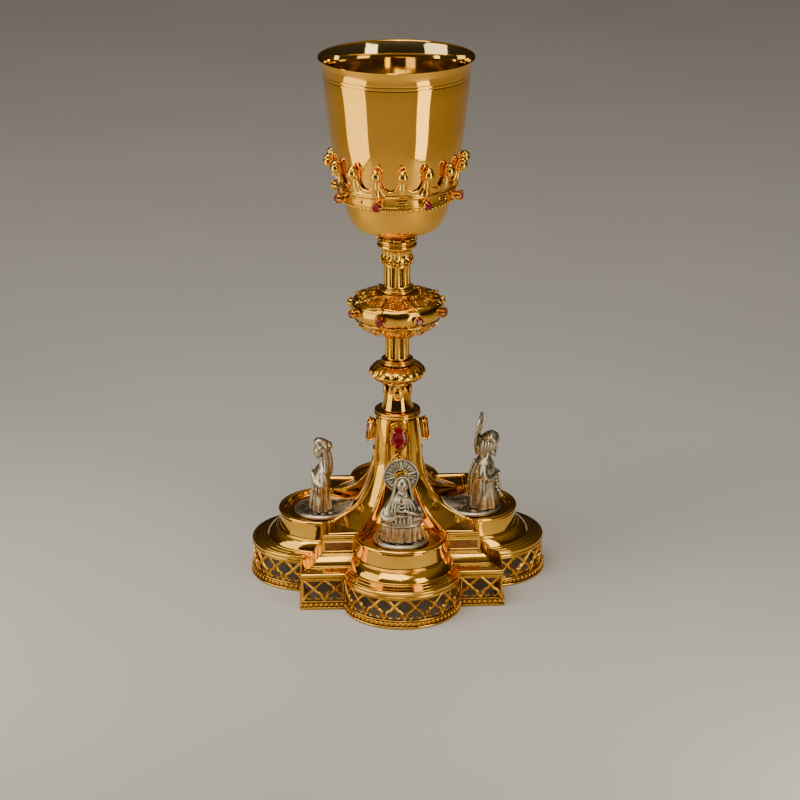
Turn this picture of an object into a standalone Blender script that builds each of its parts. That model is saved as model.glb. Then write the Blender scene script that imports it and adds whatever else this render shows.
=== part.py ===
"""Gilt chalice with a jewelled crown round its cup, a knopped stem and a pierced four-lobed foot.

Sizes are in millimetres, and add_part() scales them to metres. +Z is up and the foot stands on z = 0.
The stem's axis is the Z axis, and the lobes of the foot point along X and Y, the front one along -Y.
A tie rod, a washer and a nut inside the foot clamp the stem's pieces together. Pieces that touch are
GAP apart. Profiles are (radius, height) points of a closed outline.
"""

import math

import bmesh
import bpy
from mathutils import Matrix, Vector

MM = 0.001
GAP = 0.3
WALL = 1.2
TURN = 2 * math.pi
WELD = 1e-4

# Cup and crown
RIM_RADIUS = 43.9
RIM_HEIGHT = 310.0
CUP_WALL = 1.1
CUP_SIDES = 24
PRONGS = 16
CROWN_TURN = math.radians(2.5)
CROWN_GEMS = 8
CROWN_GEM_TURN = math.radians(25)
CROWN_GEM_RADIUS = 32.8
CROWN_GEM_HEIGHT = 233.1

# Stem
ROD_RADIUS = 2.9
BORE_RADIUS = 3.4
BOSS_BORE_RADIUS = 5.8
STEM_SIDES = 16
SHAFT_RIBS = 8
KNOP_SIDES = 24
KNOP_GEMS = 8
KNOP_GEM_TURN = math.radians(22.5)
KNOP_GEM_RADIUS = 24.2
KNOP_GEM_HEIGHT = 163.2

# Foot: a square with a round lobe on each side. It grows from the top outline to the bottom one.
TOP_HALF_SIDE = 45.1
TOP_LOBE_CENTRE = 43.4
TOP_LOBE_RADIUS = 27.0
HALF_SIDE_SPREAD = 14.1
LOBE_CENTRE_SPREAD = 10.0
LOBE_RADIUS_SPREAD = 7.35
RISER_FOOT = 29.6
FLOOR_HEIGHT = 36.9
CONE_TOP = 97.6
FOOT_GEM_HEIGHT = 87.9
FOOT_GEM_RADIUS = 13.4
FOOT_GEM_TILT = math.radians(7)

# Figures and their plates
PLATE_CENTRE = 45.2
PLATE_RADIUS = 16.2
PLATE_LIFT = 0.5
PLATE_THICK = 0.8
FIGURE_FOOT = 38.5
HALO_RADIUS = 10.25
HALO_THICK = 0.8

# Looks: colour, roughness, metallic value, transmission
POLISHED_GOLD = ((0.93, 0.62, 0.20), 0.10, 1.0, 0.0)
SATIN_GOLD = ((0.84, 0.50, 0.13), 0.26, 1.0, 0.0)
SILVER = ((0.72, 0.68, 0.62), 0.32, 1.0, 0.0)
RUBY = ((0.45, 0.005, 0.02), 0.04, 0.0, 0.5)
BRASS = ((0.70, 0.50, 0.22), 0.35, 1.0, 0.0)


def clear_scene():
    for old in list(bpy.data.objects):
        bpy.data.objects.remove(old)


def finish(name, look):
    """A material of its own for the part called name."""
    colour, roughness, metallic, transmission = look
    made = bpy.data.materials.new(name + "_finish")
    made.use_nodes = True
    shader = made.node_tree.nodes["Principled BSDF"]
    shader.inputs["Base Color"].default_value = (*colour, 1.0)
    shader.inputs["Roughness"].default_value = roughness
    shader.inputs["Metallic"].default_value = metallic
    shader.inputs["Transmission Weight"].default_value = transmission
    return made


def add_part(name, shape, look):
    """Makes the object called name from a bmesh in millimetres."""
    bmesh.ops.recalc_face_normals(shape, faces=shape.faces)
    if shape.calc_volume(signed=True) < 0:
        bmesh.ops.reverse_faces(shape, faces=shape.faces)
    mesh = bpy.data.meshes.new(name)
    shape.to_mesh(mesh)
    shape.free()
    mesh.transform(Matrix.Scale(MM, 4))
    mesh.shade_smooth()
    mesh.set_sharp_from_angle(angle=math.radians(35))
    mesh.materials.append(finish(name, look))
    part = bpy.data.objects.new(name, mesh)
    bpy.context.scene.collection.objects.link(part)
    return part


def turned(profile, sides):
    """The profile turned about Z. One that starts and ends on the axis is left open along it."""
    shape = bmesh.new()
    points = [shape.verts.new((radius, 0, height)) for radius, height in profile]
    on_axis = profile[0][0] == 0 and profile[-1][0] == 0
    following = points[1:] if on_axis else points[1:] + points[:1]
    edges = [shape.edges.new(pair) for pair in zip(points, following)]
    bmesh.ops.spin(
        shape, geom=points + edges, cent=(0, 0, 0), axis=(0, 0, 1),
        angle=TURN, steps=sides, use_merge=True,
    )
    bmesh.ops.remove_doubles(shape, verts=shape.verts, dist=WELD)
    return shape


def skinned(rings, tied=False):
    """A skin over rings of points. A tied one joins its last ring to its first, others are capped."""
    shape = bmesh.new()
    loops = [[shape.verts.new(point) for point in ring] for ring in rings]
    pairs = list(zip(loops, loops[1:]))
    if tied:
        pairs.append((loops[-1], loops[0]))
    for low, high in pairs:
        for k in range(len(low)):
            after = (k + 1) % len(low)
            shape.faces.new((low[k], low[after], high[after], high[k]))
    if not tied:
        shape.faces.new(loops[0][::-1])
        shape.faces.new(loops[-1])
    return shape


def shifted(profile, distance):
    """The profile's points moved to the right of the way it runs, by distance."""
    moved = []
    for k, (radius, height) in enumerate(profile):
        before = profile[max(k - 1, 0)]
        after = profile[min(k + 1, len(profile) - 1)]
        along = Vector((after[0] - before[0], after[1] - before[1])).normalized()
        moved.append((radius + distance * along.y, height - distance * along.x))
    return moved


def ellipse(centre, half_x, half_y, height, count):
    angles = [TURN * k / count for k in range(count)]
    return [(centre + half_x * math.cos(a), half_y * math.sin(a), height) for a in angles]


def facing_out(angle, radius, height, tilt=0.0):
    """Takes a shape's +Z to the way out of the stem at angle, leaning back by tilt."""
    place = Matrix.Rotation(angle, 4, "Z") @ Matrix.Translation((radius, 0, height))
    return place @ Matrix.Rotation(math.pi / 2 - tilt, 4, "Y")


def placed(shape, matrix):
    bmesh.ops.transform(shape, matrix=matrix, verts=shape.verts)
    return shape


def gathered(shapes):
    """Several bmeshes in one, each still a closed body of its own."""
    whole = bmesh.new()
    for shape in shapes:
        mesh = bpy.data.meshes.new("gathered")
        shape.to_mesh(mesh)
        shape.free()
        whole.from_mesh(mesh)
        bpy.data.meshes.remove(mesh)
    return whole


def joined(part, shapes):
    """Unites closed shapes with part into one body."""
    extra = add_part(part.name + "_extra", gathered(shapes), BRASS)
    extra.hide_render = True
    extra.display_type = "WIRE"
    union = part.modifiers.new("joined", "BOOLEAN")
    union.operation = "UNION"
    union.solver = "EXACT"
    union.object = extra


# ---------------------------------------------------------------- gems and their collets


def collet():
    """A flared cup that holds a round gem. It is 4.9 long and opens along +Z."""
    return turned([(0, 0), (2.1, 0), (3.25, 4.9), (2.75, 4.9), (2.6, 3.9), (0, 3.9)], 6)


def gem():
    """A cut stone that sits in a collet."""
    return turned([(0, 4.2), (2.25, 4.2), (2.4, 4.9), (1.5, 5.7), (0, 5.8)], 6)


def gem_places(count, first, radius, height):
    return [facing_out(first + TURN * k / count, radius, height) for k in range(count)]


def add_gems(name, places):
    for k, place in enumerate(places):
        add_part(f"{name}_{k + 1}", placed(gem(), place), RUBY)


# ---------------------------------------------------------------- cup and crown


def add_cup():
    outside = [
        (0, 209.6), (13, 209.7), (21, 211.0), (25.2, 213.7), (28.2, 219.6), (30.0, 226.2), (32.5, 238.0),
        (34.4, 247.0), (37.5, 263.5), (39.4, 280.0), (40.9, 293.5), (41.4, 300.5), (42.3, 305.5),
        (RIM_RADIUS, RIM_HEIGHT),
    ]
    lip = (RIM_RADIUS - 0.8, RIM_HEIGHT)
    inside = shifted(outside, -CUP_WALL)[1:-1][::-1]
    bottom = (0, outside[0][1] + CUP_WALL)
    add_part("cup", turned(outside + [lip] + inside + [bottom], CUP_SIDES), POLISHED_GOLD)


def add_cup_boss():
    """The socket under the cup that the tie rod screws into."""
    bore = ROD_RADIUS + 1.2 * GAP
    add_part(
        "cup_boss",
        turned([(0, 209.3), (0, 207.9), (bore, 207.9), (bore, 200.4), (5.2, 200.4), (5.2, 209.3)][::-1], 12),
        BRASS,
    )


def prong(angle):
    """One finger of the crown: a wide foot in the band, a thin neck and a ball that leans out."""
    sections = [
        (237.0, 33.8, 0.5, 4.6), (243.0, 34.9, 0.8, 2.5), (247.0, 36.0, 0.9, 1.3),
        (249.6, 37.1, 1.4, 1.6), (251.8, 37.7, 1.8, 2.1), (255.6, 37.9, 0.6, 0.7),
    ]
    rings = [ellipse(radius, depth, width, height, 6) for height, radius, depth, width in sections]
    return placed(skinned(rings), Matrix.Rotation(angle, 4, "Z"))


def add_crown():
    band = [(31.45, 231.3), (33.2, 231.3), (33.6, 236.4), (34.5, 237.3), (34.5, 239.0), (33.05, 239.0)]
    crown = add_part("crown_band", turned(band, CUP_SIDES), SATIN_GOLD)
    places = gem_places(CROWN_GEMS, CROWN_GEM_TURN - math.pi / 2, CROWN_GEM_RADIUS, CROWN_GEM_HEIGHT)
    collets = [placed(collet(), place) for place in places]
    prongs = [prong(CROWN_TURN - math.pi / 2 + TURN * k / PRONGS) for k in range(PRONGS)]
    joined(crown, collets + prongs)
    add_gems("crown_ruby", places)
    wire = [(31.0, 228.9), (32.2, 228.5), (33.1, 229.4), (33.0, 231.0), (31.4, 231.0)]
    add_part("crown_bead_wire", turned(wire, CUP_SIDES), SATIN_GOLD)


# ---------------------------------------------------------------- stem


def stem_ring(name, outside, look=SATIN_GOLD, sides=STEM_SIDES, bore=BORE_RADIUS):
    """A turned piece that the tie rod passes through, from its outer points, bottom to top."""
    low, high = outside[0][1], outside[-1][1]
    add_part(name, turned([(bore, low)] + outside + [(bore, high)], sides), look)


def clustered_shaft(name, radius, low, high):
    """A shaft of half-round ribs with a bore through it."""
    steps = SHAFT_RIBS * 4
    bulge = [1.0, 0.96, 0.84, 0.96]
    angles = [TURN * k / steps for k in range(steps)]

    def ring(size, height, ribbed):
        radii = [size * (bulge[k % 4] if ribbed else 1) for k in range(steps)]
        return [(r * math.cos(a), r * math.sin(a), height) for r, a in zip(radii, angles)]

    rings = [
        ring(BORE_RADIUS, low, False), ring(radius, low, True),
        ring(radius, high, True), ring(BORE_RADIUS, high, False),
    ]
    add_part(name, skinned(rings, tied=True), SATIN_GOLD)


def add_stem_above_knop():
    rosette = [
        (9.0, 205.5), (12.7, 206.1), (12.7, 206.7), (10.2, 207.2),
        (11.3, 208.5), (11.2, 209.0), (8.0, 209.2),
    ]
    stem_ring("calyx_rosette", rosette, bore=BOSS_BORE_RADIUS)
    drum = [(9.6, 199.5), (11.3, 200.6), (11.5, 201.8), (11.2, 202.4), (11.3, 204.6), (10.9, 205.2)]
    stem_ring("drum_ring", drum, POLISHED_GOLD, bore=BOSS_BORE_RADIUS)
    capital = [(7.9, 190.0), (9.6, 192.4), (8.5, 194.6), (8.0, 197.6), (9.0, 199.2)]
    stem_ring("capital", capital)
    clustered_shaft("upper_shaft", 7.7, 176.4, 189.7)
    stem_ring("knop_top_ring", [(9.0, 172.9), (9.6, 173.6), (9.6, 175.2), (8.6, 176.1)], POLISHED_GOLD)


def add_knop():
    top = [(26.3, 166.9), (24.4, 168.9), (18.8, 171.0), (13.4, 172.1), (BORE_RADIUS, 172.6)]
    inside = [(BORE_RADIUS, 171.3), (13.2, 170.8), (18.2, 169.7), (23.0, 168.0), (24.6, 166.9)]
    add_part("knop_upper_shell", turned(top + inside, KNOP_SIDES), SATIN_GOLD)
    under = [(BORE_RADIUS, 148.3), (7.6, 148.3), (17.8, 150.8), (21.0, 153.8), (24.0, 157.0), (24.9, 158.6)]
    inside = shifted(under, -WALL)[1:][::-1]
    inside[0] = (under[-1][0] - WALL, under[-1][1])
    base = (BORE_RADIUS, inside[-1][1])
    add_part("knop_lower_shell", turned(under + inside + [base], KNOP_SIDES), SATIN_GOLD)
    equator = [(21.5, 158.9), (25.2, 158.9), (26.5, 161.4), (26.8, 163.8), (26.3, 166.6), (21.5, 166.6)]
    belt = add_part("knop_gem_belt", turned(equator, KNOP_SIDES), POLISHED_GOLD)
    places = gem_places(KNOP_GEMS, KNOP_GEM_TURN, KNOP_GEM_RADIUS, KNOP_GEM_HEIGHT)
    joined(belt, [placed(collet(), place) for place in places])
    add_gems("knop_ruby", places)


def add_stem_below_knop():
    clustered_shaft("lower_shaft", 7.0, 132.7, 148.0)
    stem_ring("lower_shaft_ring", [(9.0, 129.3), (9.7, 130.3), (9.5, 132.0), (8.8, 132.4)], POLISHED_GOLD)
    collar = [(7.6, 119.0), (11.5, 119.9), (15.2, 121.5), (16.1, 124.0), (13.6, 126.4), (8.6, 129.0)]
    stem_ring("leaf_collar", collar, sides=KNOP_SIDES)
    neck = [(9.0, 101.4), (9.0, 104.0), (7.4, 105.8), (6.7, 111.6), (7.0, 116.0), (7.5, 117.4), (7.4, 118.7)]
    stem_ring("neck", neck, POLISHED_GOLD)
    plate = [(13.2, 97.9), (13.7, 98.6), (13.7, 100.4), (13.1, 101.1)]
    stem_ring("neck_plate", plate, POLISHED_GOLD)


def add_tie():
    """The rod that holds the stem together, and the washer and nut that draw it tight."""
    add_part("tie_rod", turned([(0, 84.0), (ROD_RADIUS, 84.0), (ROD_RADIUS, 207.4), (0, 207.4)], 12), BRASS)
    stem_ring("tie_washer", [(9.5, 94.3), (9.5, 95.9)], BRASS)
    stem_ring("tie_nut", [(5.9, 88.6), (5.9, 94.0)], BRASS, sides=6, bore=BORE_RADIUS + 0.2)


# ---------------------------------------------------------------- foot


def foot_outline(flare, arc_steps=6, face_steps=1):
    """The foot's outline as (x, y) points. flare is 0 at the top outline and 1 at the bottom one."""
    half_side = TOP_HALF_SIDE + flare * HALF_SIDE_SPREAD
    centre = TOP_LOBE_CENTRE + flare * LOBE_CENTRE_SPREAD
    radius = TOP_LOBE_RADIUS + flare * LOBE_RADIUS_SPREAD
    half_chord = math.sqrt(radius**2 - (half_side - centre) ** 2)
    sweep = math.atan2(half_chord, half_side - centre)
    angles = [sweep * (2 * k / arc_steps - 1) for k in range(arc_steps + 1)]
    quarter = [(centre + radius * math.cos(a), radius * math.sin(a)) for a in angles]
    steps = [half_chord + (half_side - half_chord) * k / face_steps for k in range(1, face_steps + 1)]
    quarter += [(half_side, y) for y in steps]
    quarter += [(x, half_side) for x in steps[-2::-1]]
    outline = []
    for _ in range(4):
        outline += quarter
        quarter = [(-y, x) for x, y in quarter]
    return outline


def foot_ring(name, section, look, arc_steps=6):
    """A ring that follows the foot's outline, from a closed section of (flare, height) points."""
    rings = [[(x, y, height) for x, y in foot_outline(flare, arc_steps)] for flare, height in section]
    add_part(name, skinned(rings, tied=True), look)


def add_foot_rings():
    foot_ring("base_flange", [(0.80, 0), (1.0, 0), (1.0, 0.9), (0.985, 1.2), (0.80, 1.2)], POLISHED_GOLD)
    beads = [(0.925, 1.5), (0.975, 1.5), (0.985, 2.6), (0.965, 3.7), (0.925, 3.7)]
    foot_ring("base_bead_wire", beads, SATIN_GOLD, arc_steps=8)
    outside = [
        (0.93, 18.3), (0.945, 19.5), (0.92, 21.9), (0.46, 22.9), (0.41, 23.4), (0.30, 26.2), (0.12, 28.8),
    ]
    inside = [(0.08, 27.5), (0.24, 25.0), (0.35, 21.9), (0.84, 20.9), (0.84, 18.3)]
    foot_ring("foot_cornice", outside + [(0.02, 29.3), (-0.07, 29.3), (-0.07, 28.1)] + inside, POLISHED_GOLD)


def add_gallery():
    """The pierced band: a thin wall along the outline with a window in each of its cells."""
    low, high = 1.5, 18.0
    middle, reach = (low + high) / 2, 0.36
    shape = bmesh.new()
    walls = []
    for flare in (0.90, 0.82):
        outline = [Vector((x, y, 0)) for x, y in foot_outline(flare, arc_steps=8, face_steps=2)]
        posts, windows = [], []
        for k, here in enumerate(outline):
            there = outline[(k + 1) % len(outline)]
            posts.append([shape.verts.new((here.x, here.y, z)) for z in (low, high)])
            centre = (here + there) / 2 + Vector((0, 0, middle))
            along = (there - here) * reach
            up = Vector((0, 0, (high - low) * reach))
            windows.append([shape.verts.new(centre + step) for step in (-along, -up, along, up)])
        walls.append((posts, windows))
    (outer_posts, outer_windows), (inner_posts, inner_windows) = walls
    count = len(outer_posts)
    for k in range(count):
        after = (k + 1) % count
        for posts, windows in walls:
            corners = [posts[k][0], posts[after][0], posts[after][1], posts[k][1]]
            for side in range(4):
                first, second = windows[k][side], windows[k][(side + 1) % 4]
                shape.faces.new((corners[side], second, first))
                shape.faces.new((corners[side], corners[(side + 1) % 4], second))
        for side in range(4):
            ahead = (side + 1) % 4
            outer, inner = outer_windows[k], inner_windows[k]
            shape.faces.new((outer[side], outer[ahead], inner[ahead], inner[side]))
        for level in (0, 1):
            outer = outer_posts[k][level], outer_posts[after][level]
            inner = inner_posts[after][level], inner_posts[k][level]
            shape.faces.new(outer + inner)
    add_part("gallery", shape, SATIN_GOLD)


# The hood's two meridians, from the cone's top to where its rim moulding starts: one down the smooth
# facets over the square's corners, the other down the sunk panels over the lobes.
FACET = [
    (12.4, CONE_TOP), (12.8, 96.4), (13.6, 89.9), (14.9, 77.5), (15.2, 70.5), (16.7, 63.6), (18.6, 58.9),
    (21.7, 54.2), (25.7, 49.6), (29.1, 46.5), (35.3, 43.4), (45.0, 40.3),
]
PANEL = [
    (11.5, CONE_TOP), (11.9, 96.4), (12.7, 89.9), (13.9, 77.5), (14.3, 70.5), (15.9, 64.0), (17.6, 58.5),
    (19.5, 52.8), (22.0, 47.2), (25.0, 42.8), (29.0, 39.2), (34.5, FLOOR_HEIGHT),
]
# The rim moulding, as (distance out from the top outline, height)
FACET_RIM = [(-4.8, 39.5), (-2.0, 40.3), (-0.4, 40.3), (0.5, 39.3), (0.1, 37.8), (0.1, RISER_FOOT)]
PANEL_RIM = [(-5.2, FLOOR_HEIGHT), (-2.6, 39.9), (-0.6, 40.3), (0.5, 39.3), (0.1, 37.8), (0.1, RISER_FOOT)]
# The points of a meridian that its inner skin follows
INNER_POINTS = (11, 10, 8, 7, 5, 3, 1)


def hood_meridian(reach, on_lobe):
    """Outer and inner skin of the hood in one direction, where the top outline is reach from the axis."""
    side, rim = (PANEL, PANEL_RIM) if on_lobe else (FACET, FACET_RIM)
    outer = [(BORE_RADIUS, CONE_TOP)] + side + [(reach + out, height) for out, height in rim]
    under = rim[0][1] - WALL
    skirt = [(reach - WALL, RISER_FOOT), (reach - WALL, under), (reach - 5.2, under)]
    skin = shifted(side, WALL)
    inner = [skin[k] for k in INNER_POINTS]
    return outer + skirt + inner + [(BORE_RADIUS, inner[-1][1])]


def add_hood():
    outline = [Vector(point) for point in foot_outline(0)]
    quarter = len(outline) // 4
    meridians = []
    for k, point in enumerate(outline):
        on_lobe = 0 < k % quarter < quarter - 2
        way = point.normalized()
        meridian = hood_meridian(point.length, on_lobe)
        meridians.append([(way.x * radius, way.y * radius, height) for radius, height in meridian])
    add_part("foot_hood", skinned(list(zip(*meridians)), tied=True), POLISHED_GOLD)


def add_foot_gems():
    """Oval stones high on the four panels, each in a collet of its own."""
    for k, name in enumerate(("right", "back", "left", "front")):
        place = facing_out(TURN * k / 4, FOOT_GEM_RADIUS, FOOT_GEM_HEIGHT, FOOT_GEM_TILT)
        oval = place @ Matrix.Diagonal((2.25, 1.62, 0.9, 1))
        add_part(f"foot_collet_{name}", placed(collet(), oval), SATIN_GOLD)
        add_part(f"foot_ruby_{name}", placed(gem(), oval), RUBY)


# ---------------------------------------------------------------- figures

# Each section of a figure is (height, half depth, half width, how far out its centre lies).
HALF_LENGTH = [
    (FIGURE_FOOT, 7.6, 11.2, 47.6), (45.0, 7.2, 11.4, 47.4), (51.0, 7.4, 12.6, 47.6),
    (57.0, 6.6, 11.4, 47.2), (62.6, 4.8, 7.6, 46.6), (65.4, 3.0, 3.4, 46.2), (68.2, 3.9, 4.0, 46.5),
    (72.2, 4.2, 4.6, 46.6), (75.2, 2.9, 3.2, 46.4), (76.4, 0.9, 1.0, 46.2),
]
VEILED = [
    (FIGURE_FOOT, 6.4, 9.6, 45.6), (48.0, 5.9, 8.8, 45.6), (57.0, 6.2, 8.9, 45.9),
    (63.5, 5.3, 7.6, 45.4), (67.6, 3.0, 3.6, 45.4), (70.6, 3.3, 3.7, 46.0), (74.4, 4.6, 4.3, 45.4),
    (78.0, 4.6, 4.2, 44.8), (82.0, 3.0, 3.2, 46.4), (84.3, 1.2, 1.4, 47.4),
]
BEARDED = [
    (FIGURE_FOOT, 9.4, 10.6, 51.4), (47.0, 8.4, 10.0, 51.4), (58.0, 8.0, 10.2, 51.6),
    (66.0, 7.0, 8.8, 51.4), (71.0, 4.6, 5.0, 52.0), (74.4, 5.0, 5.2, 53.0), (79.0, 5.4, 5.6, 53.4),
    (83.4, 4.2, 4.6, 53.4), (85.6, 1.4, 1.6, 53.2),
]


def add_figure_plate(name, turn):
    """A drop-shaped plate that lies on the lobe's floor and climbs towards the cone."""
    tongue = [(25.0, 42.8, 2.6), (29.0, 39.2, 6.6)]
    flat = [
        (radius, FLOOR_HEIGHT, math.sqrt(PLATE_RADIUS**2 - (radius - PLATE_CENTRE) ** 2))
        for radius in (34.5, 40, 46, 52, 57, 60.5)
    ]
    rings = []
    for radius, floor, half_width in tongue + flat:
        low, high = floor + PLATE_LIFT, floor + PLATE_LIFT + PLATE_THICK
        corners = [(half_width, low), (half_width, high), (-half_width, high), (-half_width, low)]
        rings.append([(radius, y, z) for y, z in corners])
    add_part(name, placed(skinned(rings), turn), SILVER)


def add_halo(name, turn, radius, height):
    edge = [(0, 0), (HALO_RADIUS, 0), (HALO_RADIUS, HALO_THICK), (0, HALO_THICK)]
    disc = placed(turned(edge, 14), facing_out(0, radius, height))
    add_part(name, placed(disc, turn), SILVER)


def add_figures():
    """A figure on each lobe, facing out, with its plate and, on three of them, a halo behind the head."""
    figures = [("right", BEARDED, (46.9, 87.4)), ("back", HALF_LENGTH, (41.3, 75.4)),
               ("left", VEILED, None), ("front", HALF_LENGTH, (41.3, 75.4))]
    for k, (name, sections, halo) in enumerate(figures):
        turn = Matrix.Rotation(TURN * k / 4, 4, "Z")
        add_figure_plate(f"figure_plate_{name}", turn)
        rings = [ellipse(out, depth, width, height, 10) for height, depth, width, out in sections]
        add_part(f"figure_{name}", placed(skinned(rings), turn), SILVER)
        if halo:
            add_halo(f"halo_{name}", turn, *halo)


def main():
    clear_scene()
    add_cup()
    add_cup_boss()
    add_crown()
    add_stem_above_knop()
    add_knop()
    add_stem_below_knop()
    add_tie()
    add_foot_rings()
    add_gallery()
    add_hood()
    add_foot_gems()
    add_figures()


main()
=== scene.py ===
"""Studio looks of a gilt chalice: a mirror-bright cup in a jewelled crown, a chased stem with a knop, and a
four-lobed foot with a pierced gallery, silver figures and oval rubies.

Lengths are in millimetres in the CAD frame, and show() scales them to metres. A shape is a pair: an array of
points, and a list of faces that index them. Angles are in radians, and the front of the foot faces -Y.
"""

import math

import bmesh
import bpy
import numpy as np
from mathutils import Matrix, Vector


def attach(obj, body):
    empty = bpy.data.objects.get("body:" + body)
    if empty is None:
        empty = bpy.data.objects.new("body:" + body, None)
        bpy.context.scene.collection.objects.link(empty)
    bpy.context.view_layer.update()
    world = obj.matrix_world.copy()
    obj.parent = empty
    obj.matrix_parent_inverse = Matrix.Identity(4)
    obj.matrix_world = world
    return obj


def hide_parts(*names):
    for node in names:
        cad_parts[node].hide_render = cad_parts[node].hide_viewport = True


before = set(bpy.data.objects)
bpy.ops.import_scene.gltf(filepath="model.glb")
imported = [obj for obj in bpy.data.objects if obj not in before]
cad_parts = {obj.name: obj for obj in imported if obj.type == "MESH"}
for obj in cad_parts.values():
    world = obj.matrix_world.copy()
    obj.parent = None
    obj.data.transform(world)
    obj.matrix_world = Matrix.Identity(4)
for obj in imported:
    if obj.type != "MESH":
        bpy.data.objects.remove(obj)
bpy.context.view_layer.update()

MM = 0.001
TURN = 2 * math.pi
QUARTER = TURN / 4
FRONT = -QUARTER
FINE = 192
SIDES = ("right", "back", "left", "front")
# The radius of the hole along the stem for the tie rod
BORE = 3.4
rad = math.radians


# ---------------------------------------------------------------- lines


def smooth_line(points, steps=6):
    """A smooth curve through the points, with steps points for each stretch between two of them."""
    p = np.asarray(points, float)
    q = np.vstack([2 * p[0] - p[1], p, 2 * p[-1] - p[-2]])
    t = np.linspace(0, 1, steps, endpoint=False)[:, None]
    out = []
    for a, b, c, d in zip(q, q[1:], q[2:], q[3:]):
        out.append(
            0.5 * (
                2 * b + (c - a) * t + (2 * a - 5 * b + 4 * c - d) * t**2 + (3 * b - 3 * c + d - a) * t**3
            )
        )
    return np.vstack(out + [p[-1:]])


def rounded(points, radius, steps=3):
    """The outline with each corner cut back and rounded over about radius."""
    p = np.asarray(points, float)
    count = len(p)
    out = []
    for k in range(count):
        here, before, after = p[k], p[k - 1], p[(k + 1) % count]
        back, ahead = before - here, after - here
        first = here + back * min(0.42, radius / max(np.linalg.norm(back), 1e-9))
        last = here + ahead * min(0.42, radius / max(np.linalg.norm(ahead), 1e-9))
        for t in np.linspace(0, 1, steps + 1):
            out.append((1 - t) ** 2 * first + 2 * t * (1 - t) * here + t**2 * last)
    return np.array(out)


def shares(line):
    """How far along its length each point of the line lies, from 0 to 1."""
    steps = np.linalg.norm(np.diff(line, axis=0), axis=1)
    along = np.concatenate([[0], np.cumsum(steps)])
    return along / along[-1]


def resampled(line, count):
    """The line as count evenly spaced points."""
    where = shares(line)
    wanted = np.linspace(0, 1, count)
    return np.stack([np.interp(wanted, where, line[:, k]) for k in range(line.shape[1])], axis=1)


def bell(x, centre, width):
    """A smooth bump, 1 at the centre."""
    return np.exp(-(((x - centre) / width) ** 2))


def smoothstep(low, high, x):
    """A smooth climb from 0 at low to 1 at high."""
    t = np.clip((x - low) / (high - low), 0, 1)
    return t * t * (3 - 2 * t)


# ---------------------------------------------------------------- shapes


def skin(rows, tied=False, capped=False):
    """A skin over closed rows of points. A tied one joins its last row to its first."""
    rows = np.asarray(rows, float)
    count, width = rows.shape[:2]
    index = np.arange(count * width).reshape(count, width)
    wide = np.concatenate([index, index[:, :1]], axis=1)
    tall = np.concatenate([wide, wide[:1]]) if tied else wide
    faces = np.stack([tall[:-1, :-1], tall[:-1, 1:], tall[1:, 1:], tall[1:, :-1]], axis=-1)
    faces = faces.reshape(-1, 4).tolist()
    if capped:
        faces += [index[0][::-1].tolist(), index[-1].tolist()]
    return rows.reshape(-1, 3), faces


def gathered(shapes):
    """Several shapes as one."""
    points, faces, start = [], [], 0
    for some_points, some_faces in shapes:
        points.append(some_points)
        faces += [[k + start for k in face] for face in some_faces]
        start += len(some_points)
    return np.vstack(points), faces


def placed(shape, matrix):
    """The shape moved by a matrix."""
    points, faces = shape
    m = np.array(matrix, float)
    return points @ m[:3, :3].T + m[:3, 3], faces


def turn_by(angle):
    return Matrix.Rotation(angle, 4, "Z")


def evenly(count, first=0.0):
    """Angles spaced evenly round the stem."""
    return [first + TURN * k / count for k in range(count)]


def fourfold(shape):
    """The shape on each of the foot's four sides."""
    return gathered([placed(shape, turn_by(QUARTER * k)) for k in range(4)])


def facing_out(angle, radius, height, tilt=0.0):
    """Turns a shape's +Z out of the stem at angle, leaning back by tilt, and its +X down."""
    place = Matrix.Rotation(angle, 4, "Z") @ Matrix.Translation((radius, 0, height))
    return place @ Matrix.Rotation(QUARTER - tilt, 4, "Y")


def polar(radius, angle, height):
    """Points at radii, angles about the Z axis and heights."""
    return np.stack([radius * np.cos(angle), radius * np.sin(angle), height + 0 * angle], axis=-1)


def turned(profile, sides=FINE):
    """The (radius, height) outline turned about Z."""
    profile = np.asarray(profile, float)
    angles = np.arange(sides) * TURN / sides
    return skin([polar(radius, angles, height) for radius, height in profile], tied=True)


class Surface:
    """A turned surface with relief on it: a smooth (radius, height) curve that runs up the outer side."""

    def __init__(self, points):
        self.line = smooth_line(points, 10)
        self.share = shares(self.line)
        run = np.gradient(self.line, axis=0)
        run /= np.maximum(np.linalg.norm(run, axis=1, keepdims=True), 1e-9)
        self.out = np.stack([run[:, 1], -run[:, 0]], axis=1)

    def at(self, angle, share, lift=0.0):
        """Points at the angles and shares of the curve's length, lifted off the surface."""
        angle, share, lift = np.broadcast_arrays(angle, share, lift)
        line = np.hstack([self.line, self.out]).T
        radius, height, out, up = (np.interp(share, self.share, column) for column in line)
        return polar(radius + lift * out, angle, height + lift * up)


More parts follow.
